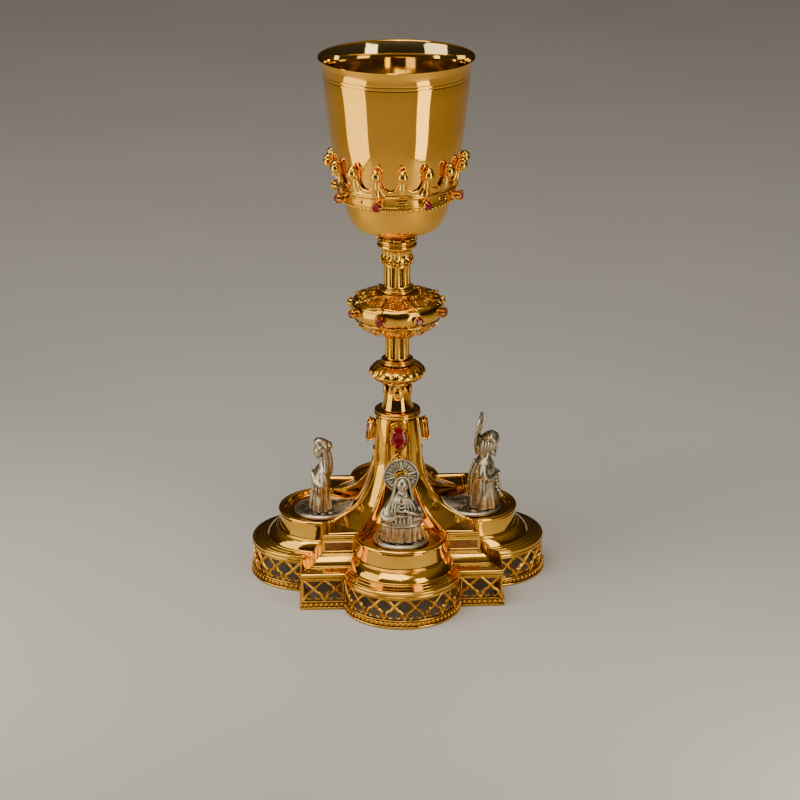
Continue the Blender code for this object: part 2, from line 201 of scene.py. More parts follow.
def tube(path, radius, sides=8, closed=False, flat=1.0, away=None):
    """A round or flattened wire along the path. radius may be one number for each point of the path."""
    path = np.asarray(path, float)
    radius = np.broadcast_to(radius, len(path))
    if closed:
        run = np.roll(path, -1, axis=0) - np.roll(path, 1, axis=0)
    else:
        run = np.gradient(path, axis=0)
    run /= np.maximum(np.linalg.norm(run, axis=1, keepdims=True), 1e-9)
    if away is None:
        away = np.array((0.0, 0.0, 1.0)) if abs(run[:, 2]).mean() < 0.8 else np.array((1.0, 0.0, 0.0))
    away = np.broadcast_to(away, path.shape)
    side = np.cross(run, away)
    side /= np.maximum(np.linalg.norm(side, axis=1, keepdims=True), 1e-9)
    up = np.cross(side, run)
    angles = (np.arange(sides) + 0.5) * TURN / sides
    rows = [
        centre + r * (np.outer(np.cos(angles), across) + flat * np.outer(np.sin(angles), over))
        for centre, r, across, over in zip(path, radius, side, up)
    ]
    return skin(rows, tied=closed, capped=not closed)


def ball(centre, radius, stretch=(1, 1, 1), sides=14, rings=9):
    """A ball, stretched along X, Y and Z."""
    lean = np.linspace(0, math.pi, rings + 2)[1:-1]
    angles = np.arange(sides) * TURN / sides
    rows = [polar(math.sin(t), angles, math.cos(t)) for t in lean]
    points, faces = skin(rows[::-1], capped=True)
    return points * np.asarray(stretch) * radius + np.asarray(centre, float), faces


def leaf(surface, angle, low, high, half_width, teeth=3, lift=0.8, curl=0.0):
    """A leaf on a turned surface, from share low to share high, with a midrib and toothed edges."""
    u = np.linspace(0, 1, 22)[:, None]
    v = np.linspace(-1, 1, 11)[None, :]
    fullness = 0.35 + 0.65 * np.sin(math.pi * np.clip(u * 0.62 + 0.2, 0, 1))
    taper = np.sqrt(np.clip(1 - u**3.2, 0, 1))
    notches = 1 - 0.24 * np.abs(np.sin(teeth * math.pi * u)) ** 0.7 * (u < 0.97)
    spread = half_width * fullness * taper * notches
    reach = u + 0.10 * (np.abs(v) ** 1.5) * np.cos(teeth * TURN * u) * (1 - u)
    share = low + (high - low) * reach
    radius = np.interp(share, surface.share, surface.line[:, 0])
    rib = bell(v, 0, 0.16) * 0.35 + 0.22 * np.abs(np.sin(math.pi * (teeth * u + np.abs(v) * 1.2)))
    height = lift * (0.35 + 0.65 * (1 - v**2)) * np.minimum(1, 6 * u + 0.2) + lift * rib
    height = height + curl * smoothstep(0.55, 1.0, u)
    top = surface.at(angle + v * spread / radius, share, height)
    depth = np.where(u > 0.6, height - 0.55 * lift - 0.2, -0.3)
    floor = surface.at(angle + v * spread / radius, share, depth)
    rows = np.concatenate([top, floor[:, ::-1]], axis=1)
    return skin(rows, capped=True)


# ---------------------------------------------------------------- looks


class Look:
    """A procedural material under construction."""

    def __init__(self, name):
        self.material = bpy.data.materials.new(name)
        self.material.use_nodes = True
        self.nodes = self.material.node_tree.nodes
        self.links = self.material.node_tree.links
        self.shader = self.nodes["Principled BSDF"]
        self.place = self.nodes.new("ShaderNodeTexCoord").outputs["Object"]

    def set(self, **values):
        for name, value in values.items():
            socket = self.shader.inputs[name.replace("_", " ")]
            socket.default_value = (*value, 1.0) if isinstance(value, tuple) else value

    def join(self, source, name):
        self.links.new(source, self.shader.inputs[name])

    def node(self, kind, inputs=None, **settings):
        made = self.nodes.new(kind)
        for name, value in settings.items():
            setattr(made, name, value)
        for name, value in (inputs or {}).items():
            if isinstance(value, bpy.types.NodeSocket):
                self.links.new(value, made.inputs[name])
            else:
                made.inputs[name].default_value = value
        return made

    def noise(self, scale, detail=4.0, stretch=None):
        """Noise with about scale spots in each millimetre, stretched along the axes."""
        place = self.place
        if stretch:
            place = self.node("ShaderNodeMapping", {"Vector": place, "Scale": stretch}).outputs[0]
        inputs = {"Vector": place, "Scale": scale / MM, "Detail": detail, "Roughness": 0.55}
        return self.node("ShaderNodeTexNoise", inputs).outputs["Fac"]

    def ramp(self, value, low, high, to_low=0.0, to_high=1.0):
        inputs = {"Value": value, "From Min": low, "From Max": high, "To Min": to_low, "To Max": to_high}
        return self.node("ShaderNodeMapRange", inputs).outputs[0]

    def maths(self, operation, first, second):
        made = self.node("ShaderNodeMath", operation=operation)
        for socket, value in zip(made.inputs, (first, second)):
            if isinstance(value, bpy.types.NodeSocket):
                self.links.new(value, socket)
            else:
                socket.default_value = value
        return made.outputs[0]

    def blend(self, share, first, second):
        """first where share is 0 and second where it is 1. A colour is three numbers."""
        made = self.node("ShaderNodeMix", data_type="RGBA")
        for socket, value in zip((made.inputs[0], made.inputs[6], made.inputs[7]), (share, first, second)):
            if isinstance(value, bpy.types.NodeSocket):
                self.links.new(value, socket)
            else:
                socket.default_value = (*value, 1.0) if isinstance(value, tuple) else value
        return made.outputs[2]

    def recesses(self, reach):
        """1 in hollows and corners, 0 on open faces, from ambient occlusion and pointiness; the looks use it
        to paint shade into their colour. reach is in millimetres.
        """
        shade = self.node("ShaderNodeAmbientOcclusion", {"Distance": reach * MM}, samples=6).outputs["AO"]
        hollow = self.ramp(shade, 0.78, 0.30)
        cupped = self.ramp(self.node("ShaderNodeNewGeometry").outputs["Pointiness"], 0.497, 0.465)
        return self.maths("MAXIMUM", hollow, cupped)

    def edges(self):
        """1 on raised edges."""
        return self.ramp(self.node("ShaderNodeNewGeometry").outputs["Pointiness"], 0.512, 0.56)

    def bump(self, height, depth):
        """Uses height for bump. depth is in millimetres."""
        made = self.node("ShaderNodeBump", {"Height": height, "Distance": depth * MM, "Strength": 1.0})
        self.join(made.outputs[0], "Normal")


def gold(name, bright, deep, patina_and_shade_colour, roughness, grain, reach, patina_and_shade_share, relief=0.05):
    """Gilding, bright where it is rubbed, deep in duller patches, and darkened in its recesses: partly
    patina, partly painted shade.
    """
    look = Look(name)
    look.set(Metallic=1.0)
    clouds = look.noise(0.06, detail=3.0)
    colour = look.blend(look.ramp(clouds, 0.35, 0.7), bright, deep)
    rubbed = tuple(min(1.0, 1.08 * c + 0.02) for c in bright)
    colour = look.blend(look.maths("MULTIPLY", look.edges(), 0.6), colour, rubbed)
    worn = look.ramp(look.noise(0.9, detail=5.0), 0.3, 0.75, 0.6, 1.0)
    # Painted shade: the ambient-occlusion recess mask, varied by noise, darkens hollows towards the patina
    # colour, so this is partly patina and partly painted shade.
    patina_and_painted_shade = look.maths("MULTIPLY", look.maths("MULTIPLY", look.recesses(reach), worn), patina_and_shade_share)
    look.join(look.blend(patina_and_painted_shade, colour, patina_and_shade_colour), "Base Color")
    smears = look.noise(0.22, detail=6.0, stretch=(1.0, 1.0, 0.35))
    shine = look.ramp(smears, 0.3, 0.75, roughness * 0.7, roughness * 1.45)
    look.join(look.maths("ADD", shine, look.maths("MULTIPLY", patina_and_painted_shade, 0.25)), "Roughness")
    hammered = look.noise(0.10, detail=2.0)
    scratches = look.noise(2.2, detail=3.0, stretch=(1.0, 1.0, 0.12))
    look.bump(look.maths("ADD", hammered, look.maths("MULTIPLY", scratches, grain)), relief)
    return look.material


def silver(name, bright, dull):
    """Cast silver, darkened in its folds: partly tarnish, partly painted shade."""
    look = Look(name)
    look.set(Metallic=1.0)
    clouds = look.noise(0.25, detail=4.0)
    metal = look.blend(look.ramp(clouds, 0.35, 0.7), bright, dull)
    metal = look.blend(look.edges(), metal, (0.86, 0.77, 0.63))
    # Painted shade: folds and hollows darken to near black, partly tarnish and partly painted shade.
    patina_and_painted_shade = look.recesses(2.2)
    look.join(look.blend(patina_and_painted_shade, metal, (0.030, 0.022, 0.014)), "Base Color")
    shine = look.ramp(look.noise(0.7, detail=5.0), 0.3, 0.7, 0.22, 0.42)
    look.join(look.maths("ADD", shine, look.maths("MULTIPLY", patina_and_painted_shade, 0.3)), "Roughness")
    pitting = look.noise(2.5, detail=4.0)
    look.bump(pitting, 0.06)
    return look.material


def ruby():
    look = Look("ruby")
    look.set(Roughness=0.03, IOR=1.6, Transmission_Weight=0.22, Coat_Weight=0.1, Coat_Roughness=0.02)
    silk = look.noise(0.5, detail=4.0)
    colour = look.blend(look.ramp(silk, 0.35, 0.65), (0.18, 0.0003, 0.004), (0.38, 0.001, 0.009))
    look.join(colour, "Base Color")
    look.bump(look.noise(0.8, detail=1.0), 0.01)
    return look.material


def copper():
    """The brown enamelled ground of the plaques."""
    look = Look("copper_ground")
    look.set(Metallic=1.0)
    clouds = look.noise(0.35, detail=5.0)
    metal = look.blend(look.ramp(clouds, 0.35, 0.7), (0.50, 0.22, 0.075), (0.30, 0.11, 0.035))
    # Painted shade: the ground darkens to near black in its recesses.
    look.join(look.blend(look.recesses(1.5), metal, (0.05, 0.02, 0.01)), "Base Color")
    look.join(look.ramp(clouds, 0.3, 0.7, 0.28, 0.5), "Roughness")
    look.bump(look.noise(1.6, detail=3.0), 0.08)
    return look.material


def steel():
    look = Look("tie_steel")
    look.set(Metallic=1.0)
    clouds = look.noise(0.2, detail=5.0)
    look.join(look.blend(clouds, (0.50, 0.47, 0.42), (0.32, 0.28, 0.22)), "Base Color")
    look.join(look.ramp(clouds, 0.3, 0.7, 0.3, 0.5), "Roughness")
    look.bump(look.noise(1.5, detail=3.0, stretch=(1.0, 1.0, 0.1)), 0.05)
    return look.material


# The third colour of each gilding is the colour its recesses darken to: patina and painted shade.
POLISHED = gold(
    "polished_gilding", (0.96, 0.52, 0.075), (0.87, 0.43, 0.045), (0.20, 0.07, 0.006),
    roughness=0.075, grain=0.10, reach=3.0, patina_and_shade_share=0.85,
)
MIRROR = gold(
    "mirror_gilding", (0.97, 0.50, 0.065), (0.93, 0.45, 0.05), (0.35, 0.14, 0.016),
    roughness=0.045, grain=0.05, reach=2.0, patina_and_shade_share=0.5, relief=0.012,
)
LINING = gold(
    "lining_gilding", (0.98, 0.76, 0.35), (0.95, 0.70, 0.28), (0.45, 0.22, 0.04),
    roughness=0.06, grain=0.08, reach=2.0, patina_and_shade_share=0.4, relief=0.02,
)
CHASED = gold(
    "chased_gilding", (0.95, 0.50, 0.06), (0.84, 0.40, 0.035), (0.085, 0.030, 0.004),
    roughness=0.17, grain=0.35, reach=2.6, patina_and_shade_share=0.97,
)
SHALLOW = gold(
    "shallow_chasing", (0.96, 0.52, 0.07), (0.86, 0.42, 0.04), (0.36, 0.14, 0.014),
    roughness=0.14, grain=0.35, reach=1.0, patina_and_shade_share=0.6,
)
# Darker gilding for the gallery and bead row, darkest in its recesses: partly patina, partly painted shade.
PATINA_AND_SHADE_GILDING = gold(
    "patina_and_shade_gilding", (0.84, 0.42, 0.045), (0.48, 0.21, 0.022), (0.045, 0.016, 0.003),
    roughness=0.20, grain=0.35, reach=4.0, patina_and_shade_share=1.0,
)
SILVER = silver("oxidised_silver", (0.65, 0.55, 0.41), (0.44, 0.35, 0.24))
DARK_SILVER = silver("tarnished_silver", (0.36, 0.30, 0.22), (0.20, 0.16, 0.11))
RUBY = ruby()
COPPER = copper()
STEEL = steel()


# ---------------------------------------------------------------- pieces


def linked(name, data):
    """A new object in the scene."""
    made = bpy.data.objects.new(name, data)
    bpy.context.scene.collection.objects.link(made)
    return made


def show(name, shape, look, replaces=(), sharp=38.0):
    """Makes the piece called name from a shape, in place of the CAD nodes that it replaces."""
    points, faces = shape
    mesh = bpy.data.meshes.new(name)
    mesh.from_pydata((points * MM).tolist(), [], faces)
    tidy = bmesh.new()
    tidy.from_mesh(mesh)
    bmesh.ops.remove_doubles(tidy, verts=tidy.verts, dist=1e-7)
    bmesh.ops.recalc_face_normals(tidy, faces=tidy.faces)
    tidy.to_mesh(mesh)
    tidy.free()
    mesh.shade_smooth()
    mesh.set_sharp_from_angle(angle=rad(sharp))
    mesh.materials.append(look)
    piece = linked(name, mesh)
    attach(piece, "root")
    if replaces:
        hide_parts(*replaces)


# ---------------------------------------------------------------- cup

CUP_OUTSIDE = [
    (13, 209.7), (21, 211.0), (25.2, 213.7), (28.2, 219.6), (30.0, 226.2), (32.5, 238.0), (34.4, 247.0),
    (37.5, 263.5), (39.4, 280.0), (40.9, 293.5), (41.4, 300.5), (42.3, 305.5), (43.75, 309.4),
]
CUP_WALL = 1.1
ENGRAVED_LINES = (299.6, 301.6)


def add_cup():
    """The spun cup: a thin rolled lip and two lines engraved under it."""
    outside = resampled(smooth_line(CUP_OUTSIDE, 12), 420)
    for height in ENGRAVED_LINES:
        outside[:, 0] -= 0.16 * bell(outside[:, 1], height, 0.28)
    inside = resampled(
        smooth_line([(r - CUP_WALL, z + 0.12 * CUP_WALL) for r, z in CUP_OUTSIDE], 8), 150
    )[::-1]
    bottom = [(8, 210.7), (0.4, 210.6)]
    lip = [(43.9, 309.75), (43.75, 310.0), (43.3, 310.0), (42.85, 309.75)]
    profile = np.vstack([[(0.4, 209.6), (8, 209.62)], outside, lip, inside, bottom])
    show("cup_bowl", turned(profile, 256), MIRROR, ("cup",))
    floor = resampled(np.vstack([inside[1:], bottom]), 170)
    along = np.gradient(floor, axis=0)
    along /= np.linalg.norm(along, axis=1, keepdims=True)
    inward = np.stack([along[:, 1], -along[:, 0]], axis=1)
    lining = np.vstack([floor + 0.06 * inward, (floor + 0.02 * inward)[::-1]])
    show("cup_lining", turned(lining, 160), LINING)


# ---------------------------------------------------------------- turned pieces of the stem


def add_turned_rings():
    """The plain mouldings of the stem, with rolled edges."""
    rings = {
        "drum": (
            "drum_ring",
            [
                (5.8, 199.5), (9.6, 199.5), (10.6, 199.8), (11.3, 200.5), (11.5, 201.4), (11.2, 202.2),
                (10.5, 202.5), (10.55, 203.3), (11.1, 203.5), (11.3, 204.2), (11.0, 205.0), (10.2, 205.2),
                (5.8, 205.2),
            ],
        ),
        "shaft_base": (
            "knop_top_ring",
            [
                (BORE, 172.9), (9.1, 172.9), (9.6, 173.4), (9.6, 175.0), (9.2, 175.4), (8.7, 175.5),
                (8.6, 176.1), (BORE, 176.1),
            ],
        ),
        "lower_shaft_base": (
            "lower_shaft_ring",
            [
                (BORE, 129.3), (9.0, 129.3), (9.7, 129.9), (9.7, 130.7), (9.1, 131.1), (9.1, 131.4),
                (9.45, 131.7), (9.4, 132.3), (8.8, 132.4), (BORE, 132.4),
            ],
        ),
        "neck_spool": (
            "neck",
            [
                (BORE, 101.4), (9.4, 101.4), (9.45, 102.0), (9.1, 102.9), (8.5, 105.0), (7.8, 108.0),
                (7.3, 111.0), (7.05, 114.0), (7.0, 116.0), (7.5, 116.6), (7.6, 117.5), (7.4, 118.7),
                (BORE, 118.7),
            ],
        ),
        "cone_cap": (
            "neck_plate",
            [
                (BORE, 97.9), (13.2, 97.9), (13.7, 98.3), (13.7, 99.2), (13.0, 99.6), (13.0, 99.9),
                (13.5, 100.2), (13.5, 100.8), (12.9, 101.1), (BORE, 101.1),
            ],
        ),
    }
    for name, (node, profile) in rings.items():
        show(name, turned(rounded(profile, 0.35)), POLISHED, (node,), sharp=50)


def clustered_shaft(name, node, radius, low, high):
    """A shaft of eight half-round ribs with a fillet between each two, between plain collars."""
    ribs, steps = 8, 8 * 30
    angles = np.arange(steps) * TURN / steps
    phase = (angles * ribs / TURN + 0.5) % 1.0 - 0.5
    bulge = np.sqrt(np.clip(1 - (phase / 0.40) ** 2, 0, 1))
    depth = 0.27 * radius
    ribbed = radius - depth + depth * bulge + 0.05 * depth * (np.abs(phase) > 0.42)
    plain = np.full(steps, radius * 1.01)
    rings = [(np.full(steps, BORE), low)]
    for share, height in (
        (0, low), (0, low + 0.7), (1, low + 1.3), (1, high - 1.3), (0, high - 0.7), (0, high)
    ):
        rings.append((ribbed * share + plain * (1 - share), height))
    rings.append((np.full(steps, BORE), high))
    rows = [polar(r, angles, z) for r, z in rings]
    show(name, skin(rows, tied=True), CHASED, (node,), sharp=45)


def add_shafts():
    clustered_shaft("upper_clustered_shaft", "upper_shaft", 7.65, 176.4, 189.7)
    clustered_shaft("lower_clustered_shaft", "lower_shaft", 6.95, 132.7, 148.0)


# ---------------------------------------------------------------- foliage of the stem


def add_calyx():
    """Two tiers of small leaves that cup the bowl."""
    core = turned(rounded(
        [(5.8, 205.5), (9.4, 205.5), (9.6, 207.0), (9.9, 208.4), (9.4, 209.2), (5.8, 209.2)], 0.3
    ))
    lower = Surface([(8.8, 205.9), (10.4, 205.9), (11.8, 206.2), (12.5, 206.7)])
    upper = Surface([(8.8, 207.6), (9.6, 207.7), (10.5, 208.1), (11.0, 208.6)])
    leaves = [leaf(lower, angle, 0, 0.96, 3.0, teeth=2, lift=0.5, curl=0.2) for angle in evenly(12)]
    leaves += [
        leaf(upper, TURN * (k + 0.5) / 12, 0, 0.96, 2.6, teeth=2, lift=0.4, curl=0.1) for k in range(12)
    ]
    show("calyx_leaves", gathered([core] + leaves), CHASED, ("calyx_rosette",))


def add_capital():
    """A leafy capital with berries that hang between its leaves."""
    bell_line = [(7.9, 190.0), (8.1, 191.6), (8.0, 194.0), (7.9, 196.2), (8.3, 198.2), (9.0, 199.2)]
    surface = Surface(bell_line)
    core = turned(np.vstack([[(BORE, 190.0)], surface.line, [(BORE, 199.2)]]), 96)
    parts = [core]
    for angle in evenly(8):
        parts.append(leaf(surface, angle, 0.97, 0.30, 2.5, teeth=3, lift=0.55, curl=0.9))
        parts.append(leaf(surface, angle + TURN / 16, 0.97, 0.46, 1.6, teeth=2, lift=0.4, curl=0.5))
        for side in (-1, 1):
            around = angle + TURN / 16 + side * 0.17
            x, y, z = surface.at(around, 0.22, 0.85)
            parts.append(ball((x, y, z), 0.85))
        x, y, z = surface.at(angle, 0.17, 0.95)
        parts.append(ball((x, y, z), 0.95))
    parts.append(turned(
        rounded([(7.4, 190.0), (8.7, 190.0), (8.9, 190.5), (8.6, 191.0), (7.4, 191.0)], 0.25), 96
    ))
    show("leafy_capital", gathered(parts), CHASED, ("capital",))


def add_leaf_collar():
    """A spreading collar of overlapping leaves, veined on top and ribbed underneath."""
    top = Surface([(16.1, 122.6), (16.0, 124.3), (14.8, 126.3), (12.2, 128.1), (9.0, 129.0)])
    under = Surface([(7.7, 119.2), (11.0, 119.9), (13.6, 121.0), (15.0, 122.2), (15.6, 123.2)])
    core = turned(np.vstack([
        [(BORE, 119.0)], under.line * (0.97, 1), top.line[3:] * (0.97, 1) - (0, 0.2), [(BORE, 129.0)]
    ]))
    parts = [core]
    for angle in evenly(12):
        parts.append(leaf(top, angle, 0.95, 0.03, 3.9, teeth=4, lift=0.55, curl=-0.1))
        parts.append(leaf(top, angle + TURN / 24, 0.95, 0.12, 2.4, teeth=3, lift=0.45))
        parts.append(leaf(under, angle, 0.15, 0.92, 3.2, teeth=4, lift=0.35))
        parts.append(leaf(under, angle + TURN / 24, 0.10, 0.80, 2.6, teeth=3, lift=0.4))
    show("leafy_collar", gathered(parts), SHALLOW, ("leaf_collar",))


def trefoil(size):
    """Three round leaves with a stalk, flat in XY with its tip at -Y. size is its length."""
    stalk = tube([(0, 0, 0), (0, -0.25 * size, 0.10)], [0.16 * size, 0.12 * size], flat=0.6)
    lobes = [
        ((0, -0.66 * size), 0.30), ((-0.30 * size, -0.38 * size), 0.23), ((0.30 * size, -0.38 * size), 0.23)
    ]
    leaves = [ball((x, y, 0.12), r * size, stretch=(1, 1.15, 0.45)) for (x, y), r in lobes]
    return gathered([stalk] + leaves)


def add_neck_pendants():
    """Four trefoil leaves that hang down the neck from under the collar."""
    leafy = placed(trefoil(10.5), Matrix.Rotation(rad(3), 4, "X"))
    upright = placed(leafy, Matrix.Translation((0, -7.5, 118.4)) @ Matrix.Rotation(QUARTER, 4, "X"))
    show("neck_leaf_drops", fourfold(upright), CHASED)


# ---------------------------------------------------------------- gems


def cut_stone(radius, depth=1.0, sides=16):
    """A brilliant-cut stone with its girdle at z = 0: a flat table, rows of facets and a pointed back."""
    rows = []
    for share, height, shift in (
        (0.25, -0.62, 0.5), (0.97, -0.10, 0.0), (1.0, 0.05, 0.5), (0.82, 0.34, 0.0), (0.56, 0.5, 0.5)
    ):
        angles = (np.arange(sides) + shift) * TURN / sides
        wobble = 1 - 0.02 * (np.arange(sides) % 2)
        rows.append(polar(radius * share * wobble, angles, height * radius * depth))
    return skin(rows, capped=True)


CLAWS = 6


def claw_collet(length, foot, mouth):
    """A flared collet that opens along +Z, with a rolled mouth and claws that hold a stone at its end."""
    flare = [
        (0.3, 0), (foot, 0), (foot * 1.0, length * 0.28), (foot * 1.12, length * 0.5),
        (mouth * 0.98, length * 0.86), (mouth * 1.04, length * 0.97), (mouth * 0.98, length * 1.04),
        (mouth * 0.86, length), (mouth * 0.8, length * 0.86), (0.3, length * 0.80),
    ]
    cup = turned(smooth_line(flare[:6], 4).tolist() + flare[6:], 40)
    parts = [cup, turned(rounded([(foot, 0), (foot + 0.45, 0.2), (foot + 0.45, 0.8), (foot, 1.0)], 0.2), 32)]
    for k in range(CLAWS):
        angle = TURN * (k + 0.5) / CLAWS
        line = [
            (mouth * 0.92, length * 0.55), (mouth * 1.03, length * 0.9), (mouth * 1.0, length * 1.12),
            (mouth * 0.82, length * 1.2),
        ]
        path = [(r * math.cos(angle), r * math.sin(angle), z) for r, z in smooth_line(line, 4)]
        sizes = np.interp(np.linspace(0, 1, len(path)), [0, 0.7, 1], [0.30, 0.34, 0.24]) * mouth / 3.0
        parts.append(tube(path, sizes, away=(math.cos(angle), math.sin(angle), 0.3)))
    return gathered(parts)


GEM_SEAT = 5.0
GEMS_ROUND = 8
KNOP_FIRST = rad(22.5)
CROWN_GEMS = {"first": rad(25) - QUARTER, "radius": 32.8, "height": 233.1}
KNOP_GEMS = {"first": KNOP_FIRST, "radius": 24.2, "height": 163.2}


def stem_collet(angle, gems):
    """The collet of one of the round gems."""
    return placed(claw_collet(4.9, 2.1, 2.75), facing_out(angle, gems["radius"], gems["height"]))


def add_stem_gems():
    """Sixteen round rubies: on the crown and on the knop's belt."""
    for name, gems in (("crown", CROWN_GEMS), ("knop", KNOP_GEMS)):
        for k, angle in enumerate(evenly(GEMS_ROUND, gems["first"])):
            place = facing_out(angle, gems["radius"], gems["height"])
            stone = placed(cut_stone(2.45), place @ Matrix.Translation((0, 0, GEM_SEAT)))
            show(f"{name}_stone_{k + 1}", stone, RUBY, (f"{name}_ruby_{k + 1}",), sharp=8)


FOOT_GEM = {"radius": 13.4, "height": 87.9, "tilt": rad(7)}
FOOT_OVAL = Matrix.Diagonal((2.3, 1.6, 1, 1))


def add_foot_gems():
    """The four oval rubies, each held by wire claws in a stepped box setting."""
    for k, side in enumerate(SIDES):
        place = facing_out(QUARTER * k, FOOT_GEM["radius"], FOOT_GEM["height"], FOOT_GEM["tilt"])
        stone = placed(
            cut_stone(3.0, depth=0.9, sides=24), place @ Matrix.Translation((0, 0, 3.6)) @ FOOT_OVAL
        )
        show(f"foot_stone_{side}", stone, RUBY, (f"foot_ruby_{side}",), sharp=8)
        wall = [
            (2.2, 0), (2.7, 0.1), (2.85, 1.1), (3.05, 1.35), (3.05, 1.9), (2.95, 2.2), (3.15, 2.6),
            (3.3, 3.5), (3.2, 3.9), (3.0, 3.8), (2.85, 3.2), (2.2, 2.6),
        ]
        parts = [placed(turned(rounded(wall, 0.12), 64), FOOT_OVAL)]
        for x, y in ((1, 1), (1, -1), (-1, 1), (-1, -1)):
            line = [
                (5.0 * x, 3.1 * y, 0.2), (5.5 * x, 3.5 * y, 2.2), (5.1 * x, 3.2 * y, 4.3),
                (3.9 * x, 2.4 * y, 4.9),
            ]
            path = smooth_line(line, 5)
            parts.append(tube(path, np.linspace(0.55, 0.38, len(path)), away=(x, y, 0.2)))
            parts.append(ball(path[-1], 0.5))
        for a in evenly(22):
            parts.append(ball(
                (2.3 * 2.85 * math.cos(a), 1.6 * 2.85 * math.sin(a), 1.6), 0.36, sides=8, rings=5
            ))
        show(f"foot_setting_{side}", placed(gathered(parts), place), CHASED, (f"foot_collet_{side}",))


# ---------------------------------------------------------------- crown

CROWN_TURN = FRONT + rad(2.5)
PRONGS = 16
PRONG_STEP = TURN / PRONGS
CREST_FOOT = 238.3
CREST_DIP = 240.7
NECK_HEIGHT = 247.2


def crest_radius(height):
    """The crown's outer face leans out above its band."""
    return 33.7 + 0.235 * (height - CREST_FOOT)


def crest_point(angle, across, height, lift=0.0):
    """A point on the crest, across millimetres to the side of angle."""
    radius = crest_radius(height)
    return polar(radius + lift, angle + across / radius, height)


def crest_top(across):
    """The height of the crest's edge: a thin neck at each prong, then a hollow curve down to the dip."""
    away = np.abs(across)
    return CREST_DIP + (NECK_HEIGHT - CREST_DIP) * np.exp(-np.clip(away - 1.7, 0, None) / 1.5)


def add_crest(parts):
    steps = 44
    turns = np.arange(PRONGS * steps) * TURN / (PRONGS * steps)
    across = ((turns / PRONG_STEP + 0.5) % 1.0 - 0.5) * PRONG_STEP * 34.5
    top = crest_top(across)
    rows = []
    levels = np.linspace(0, 1, 14)
    for share in levels:
        height = CREST_FOOT + (top - CREST_FOOT) * share
        inside_edge = smoothstep(0.0, 1.0, (top - height) / 1.2)
        rows.append((height, 0.22 - 0.30 * inside_edge * smoothstep(0, 0.25, share)))
    rows += [(CREST_FOOT + (top - CREST_FOOT) * share, np.full(len(turns), -0.85)) for share in levels[::-3]]
    points = [polar(crest_radius(height) + lift, turns, height) for height, lift in rows]
    parts.append(placed(skin(points, tied=True), turn_by(CROWN_TURN)))
    edge = polar(crest_radius(top) - 0.15, turns, top)
    ways = polar(1, turns, 0)
    parts.append(placed(tube(edge, 0.46, sides=8, closed=True, away=ways), turn_by(CROWN_TURN)))


def curled_head(angle):
    """A prong's neck and its head, which curls out and over."""
    line = [
        (34.9, 243.5), (35.5, 246.0), (36.0, 248.3), (36.5, 250.6), (37.4, 252.7), (38.7, 253.2),
        (39.6, 252.2),
    ]
    sizes = [2.2, 2.0, 1.85, 1.85, 2.0, 2.1, 2.1]
    path = smooth_line(line, 4)
    radii = np.interp(np.linspace(0, 1, len(path)), np.linspace(0, 1, len(sizes)), sizes)
    path = np.stack([path[:, 0], 0 * path[:, 0], path[:, 1]], axis=1)
    parts = [tube(path, radii, sides=14, away=(0, 1, 0))]
    parts.append(ball((38.9, 0, 250.8), 2.8, stretch=(0.92, 1.06, 1.12), sides=24, rings=14))
    parts.append(ball((37.3, 0, 252.6), 1.9, stretch=(1.0, 1.2, 0.9), sides=20, rings=12))
    for side in (-1, 1):
        parts.append(ball((37.2, side * 1.75, 247.4), 0.95, stretch=(0.9, 1.0, 1.2), sides=14, rings=9))
    return placed(gathered(parts), turn_by(angle))


def palmette(angle):
    """A fan of pleats at the foot of a prong."""
    parts = []
    for lean, length in ((-52, 3.6), (-30, 4.4), (-11, 5.4), (11, 5.4), (30, 4.4), (52, 3.6)):
        t = np.linspace(0.12, 1, 8)
        across = t * length * math.sin(rad(lean)) * 0.8
        height = CREST_FOOT + 0.9 + t * length * math.cos(rad(lean))
        parts.append(tube(
            crest_point(angle, across, height, 0.05), 0.18 + 0.38 * t * (1.25 - t) * 2, flat=0.8,
            away=(math.cos(angle), math.sin(angle), 0),
        ))
    path = [
        crest_point(angle, 0, 244.4, 0.15), crest_point(angle, 0, 246.2, 0.4),
        crest_point(angle, 0, 248.4, 0.7),
    ]
    parts.append(tube(path, [0.75, 0.55, 0.6], away=(math.cos(angle), math.sin(angle), 0)))
    return gathered(parts)


def gem_strut(angle):
    """The moulded spine that climbs from a jewel's collet to the head of its prong."""
    away = (math.cos(angle), math.sin(angle), 0)
    parts = []
    for side in (-1, 1):
        line = [
            (side * 3.4, 238.9, 0.3), (side * 2.0, 241.3, 0.5), (side * 0.9, 244.2, 0.6),
            (side * 0.35, 247.4, 0.8),
        ]
        path = smooth_line([crest_point(angle, x, z, lift) for x, z, lift in line], 4)
        parts.append(tube(path, np.linspace(0.62, 0.36, len(path)), away=away))
    ridge = smooth_line(
        [crest_point(angle, 0, z, lift) for z, lift in ((236.8, 0.8), (239.5, 1.3), (242.5, 0.5))], 4
    )
    parts.append(tube(ridge, np.linspace(1.35, 0.5, len(ridge)), away=away))
    return gathered(parts)


def fret(angle):
    """Three short bars, linked at alternate ends, on the band."""
    away = (math.cos(angle), math.sin(angle), 0)
    corners = [(2.9, 235.75), (-2.9, 235.75), (-2.9, 234.3), (2.3, 234.3), (2.3, 232.9), (-2.9, 232.9)]
    path = []
    for (x0, z0), (x1, z1) in zip(corners, corners[1:]):
        for t in np.linspace(0, 1, 7)[:-1]:
            path.append((x0 + (x1 - x0) * t, z0 + (z1 - z0) * t))
    path.append(corners[-1])
    points = [
        (33.45 * math.cos(angle + x / 33.4), 33.45 * math.sin(angle + x / 33.4), z) for x, z in path
    ]
    return tube(points, 0.42, sides=6, flat=0.8, away=away)


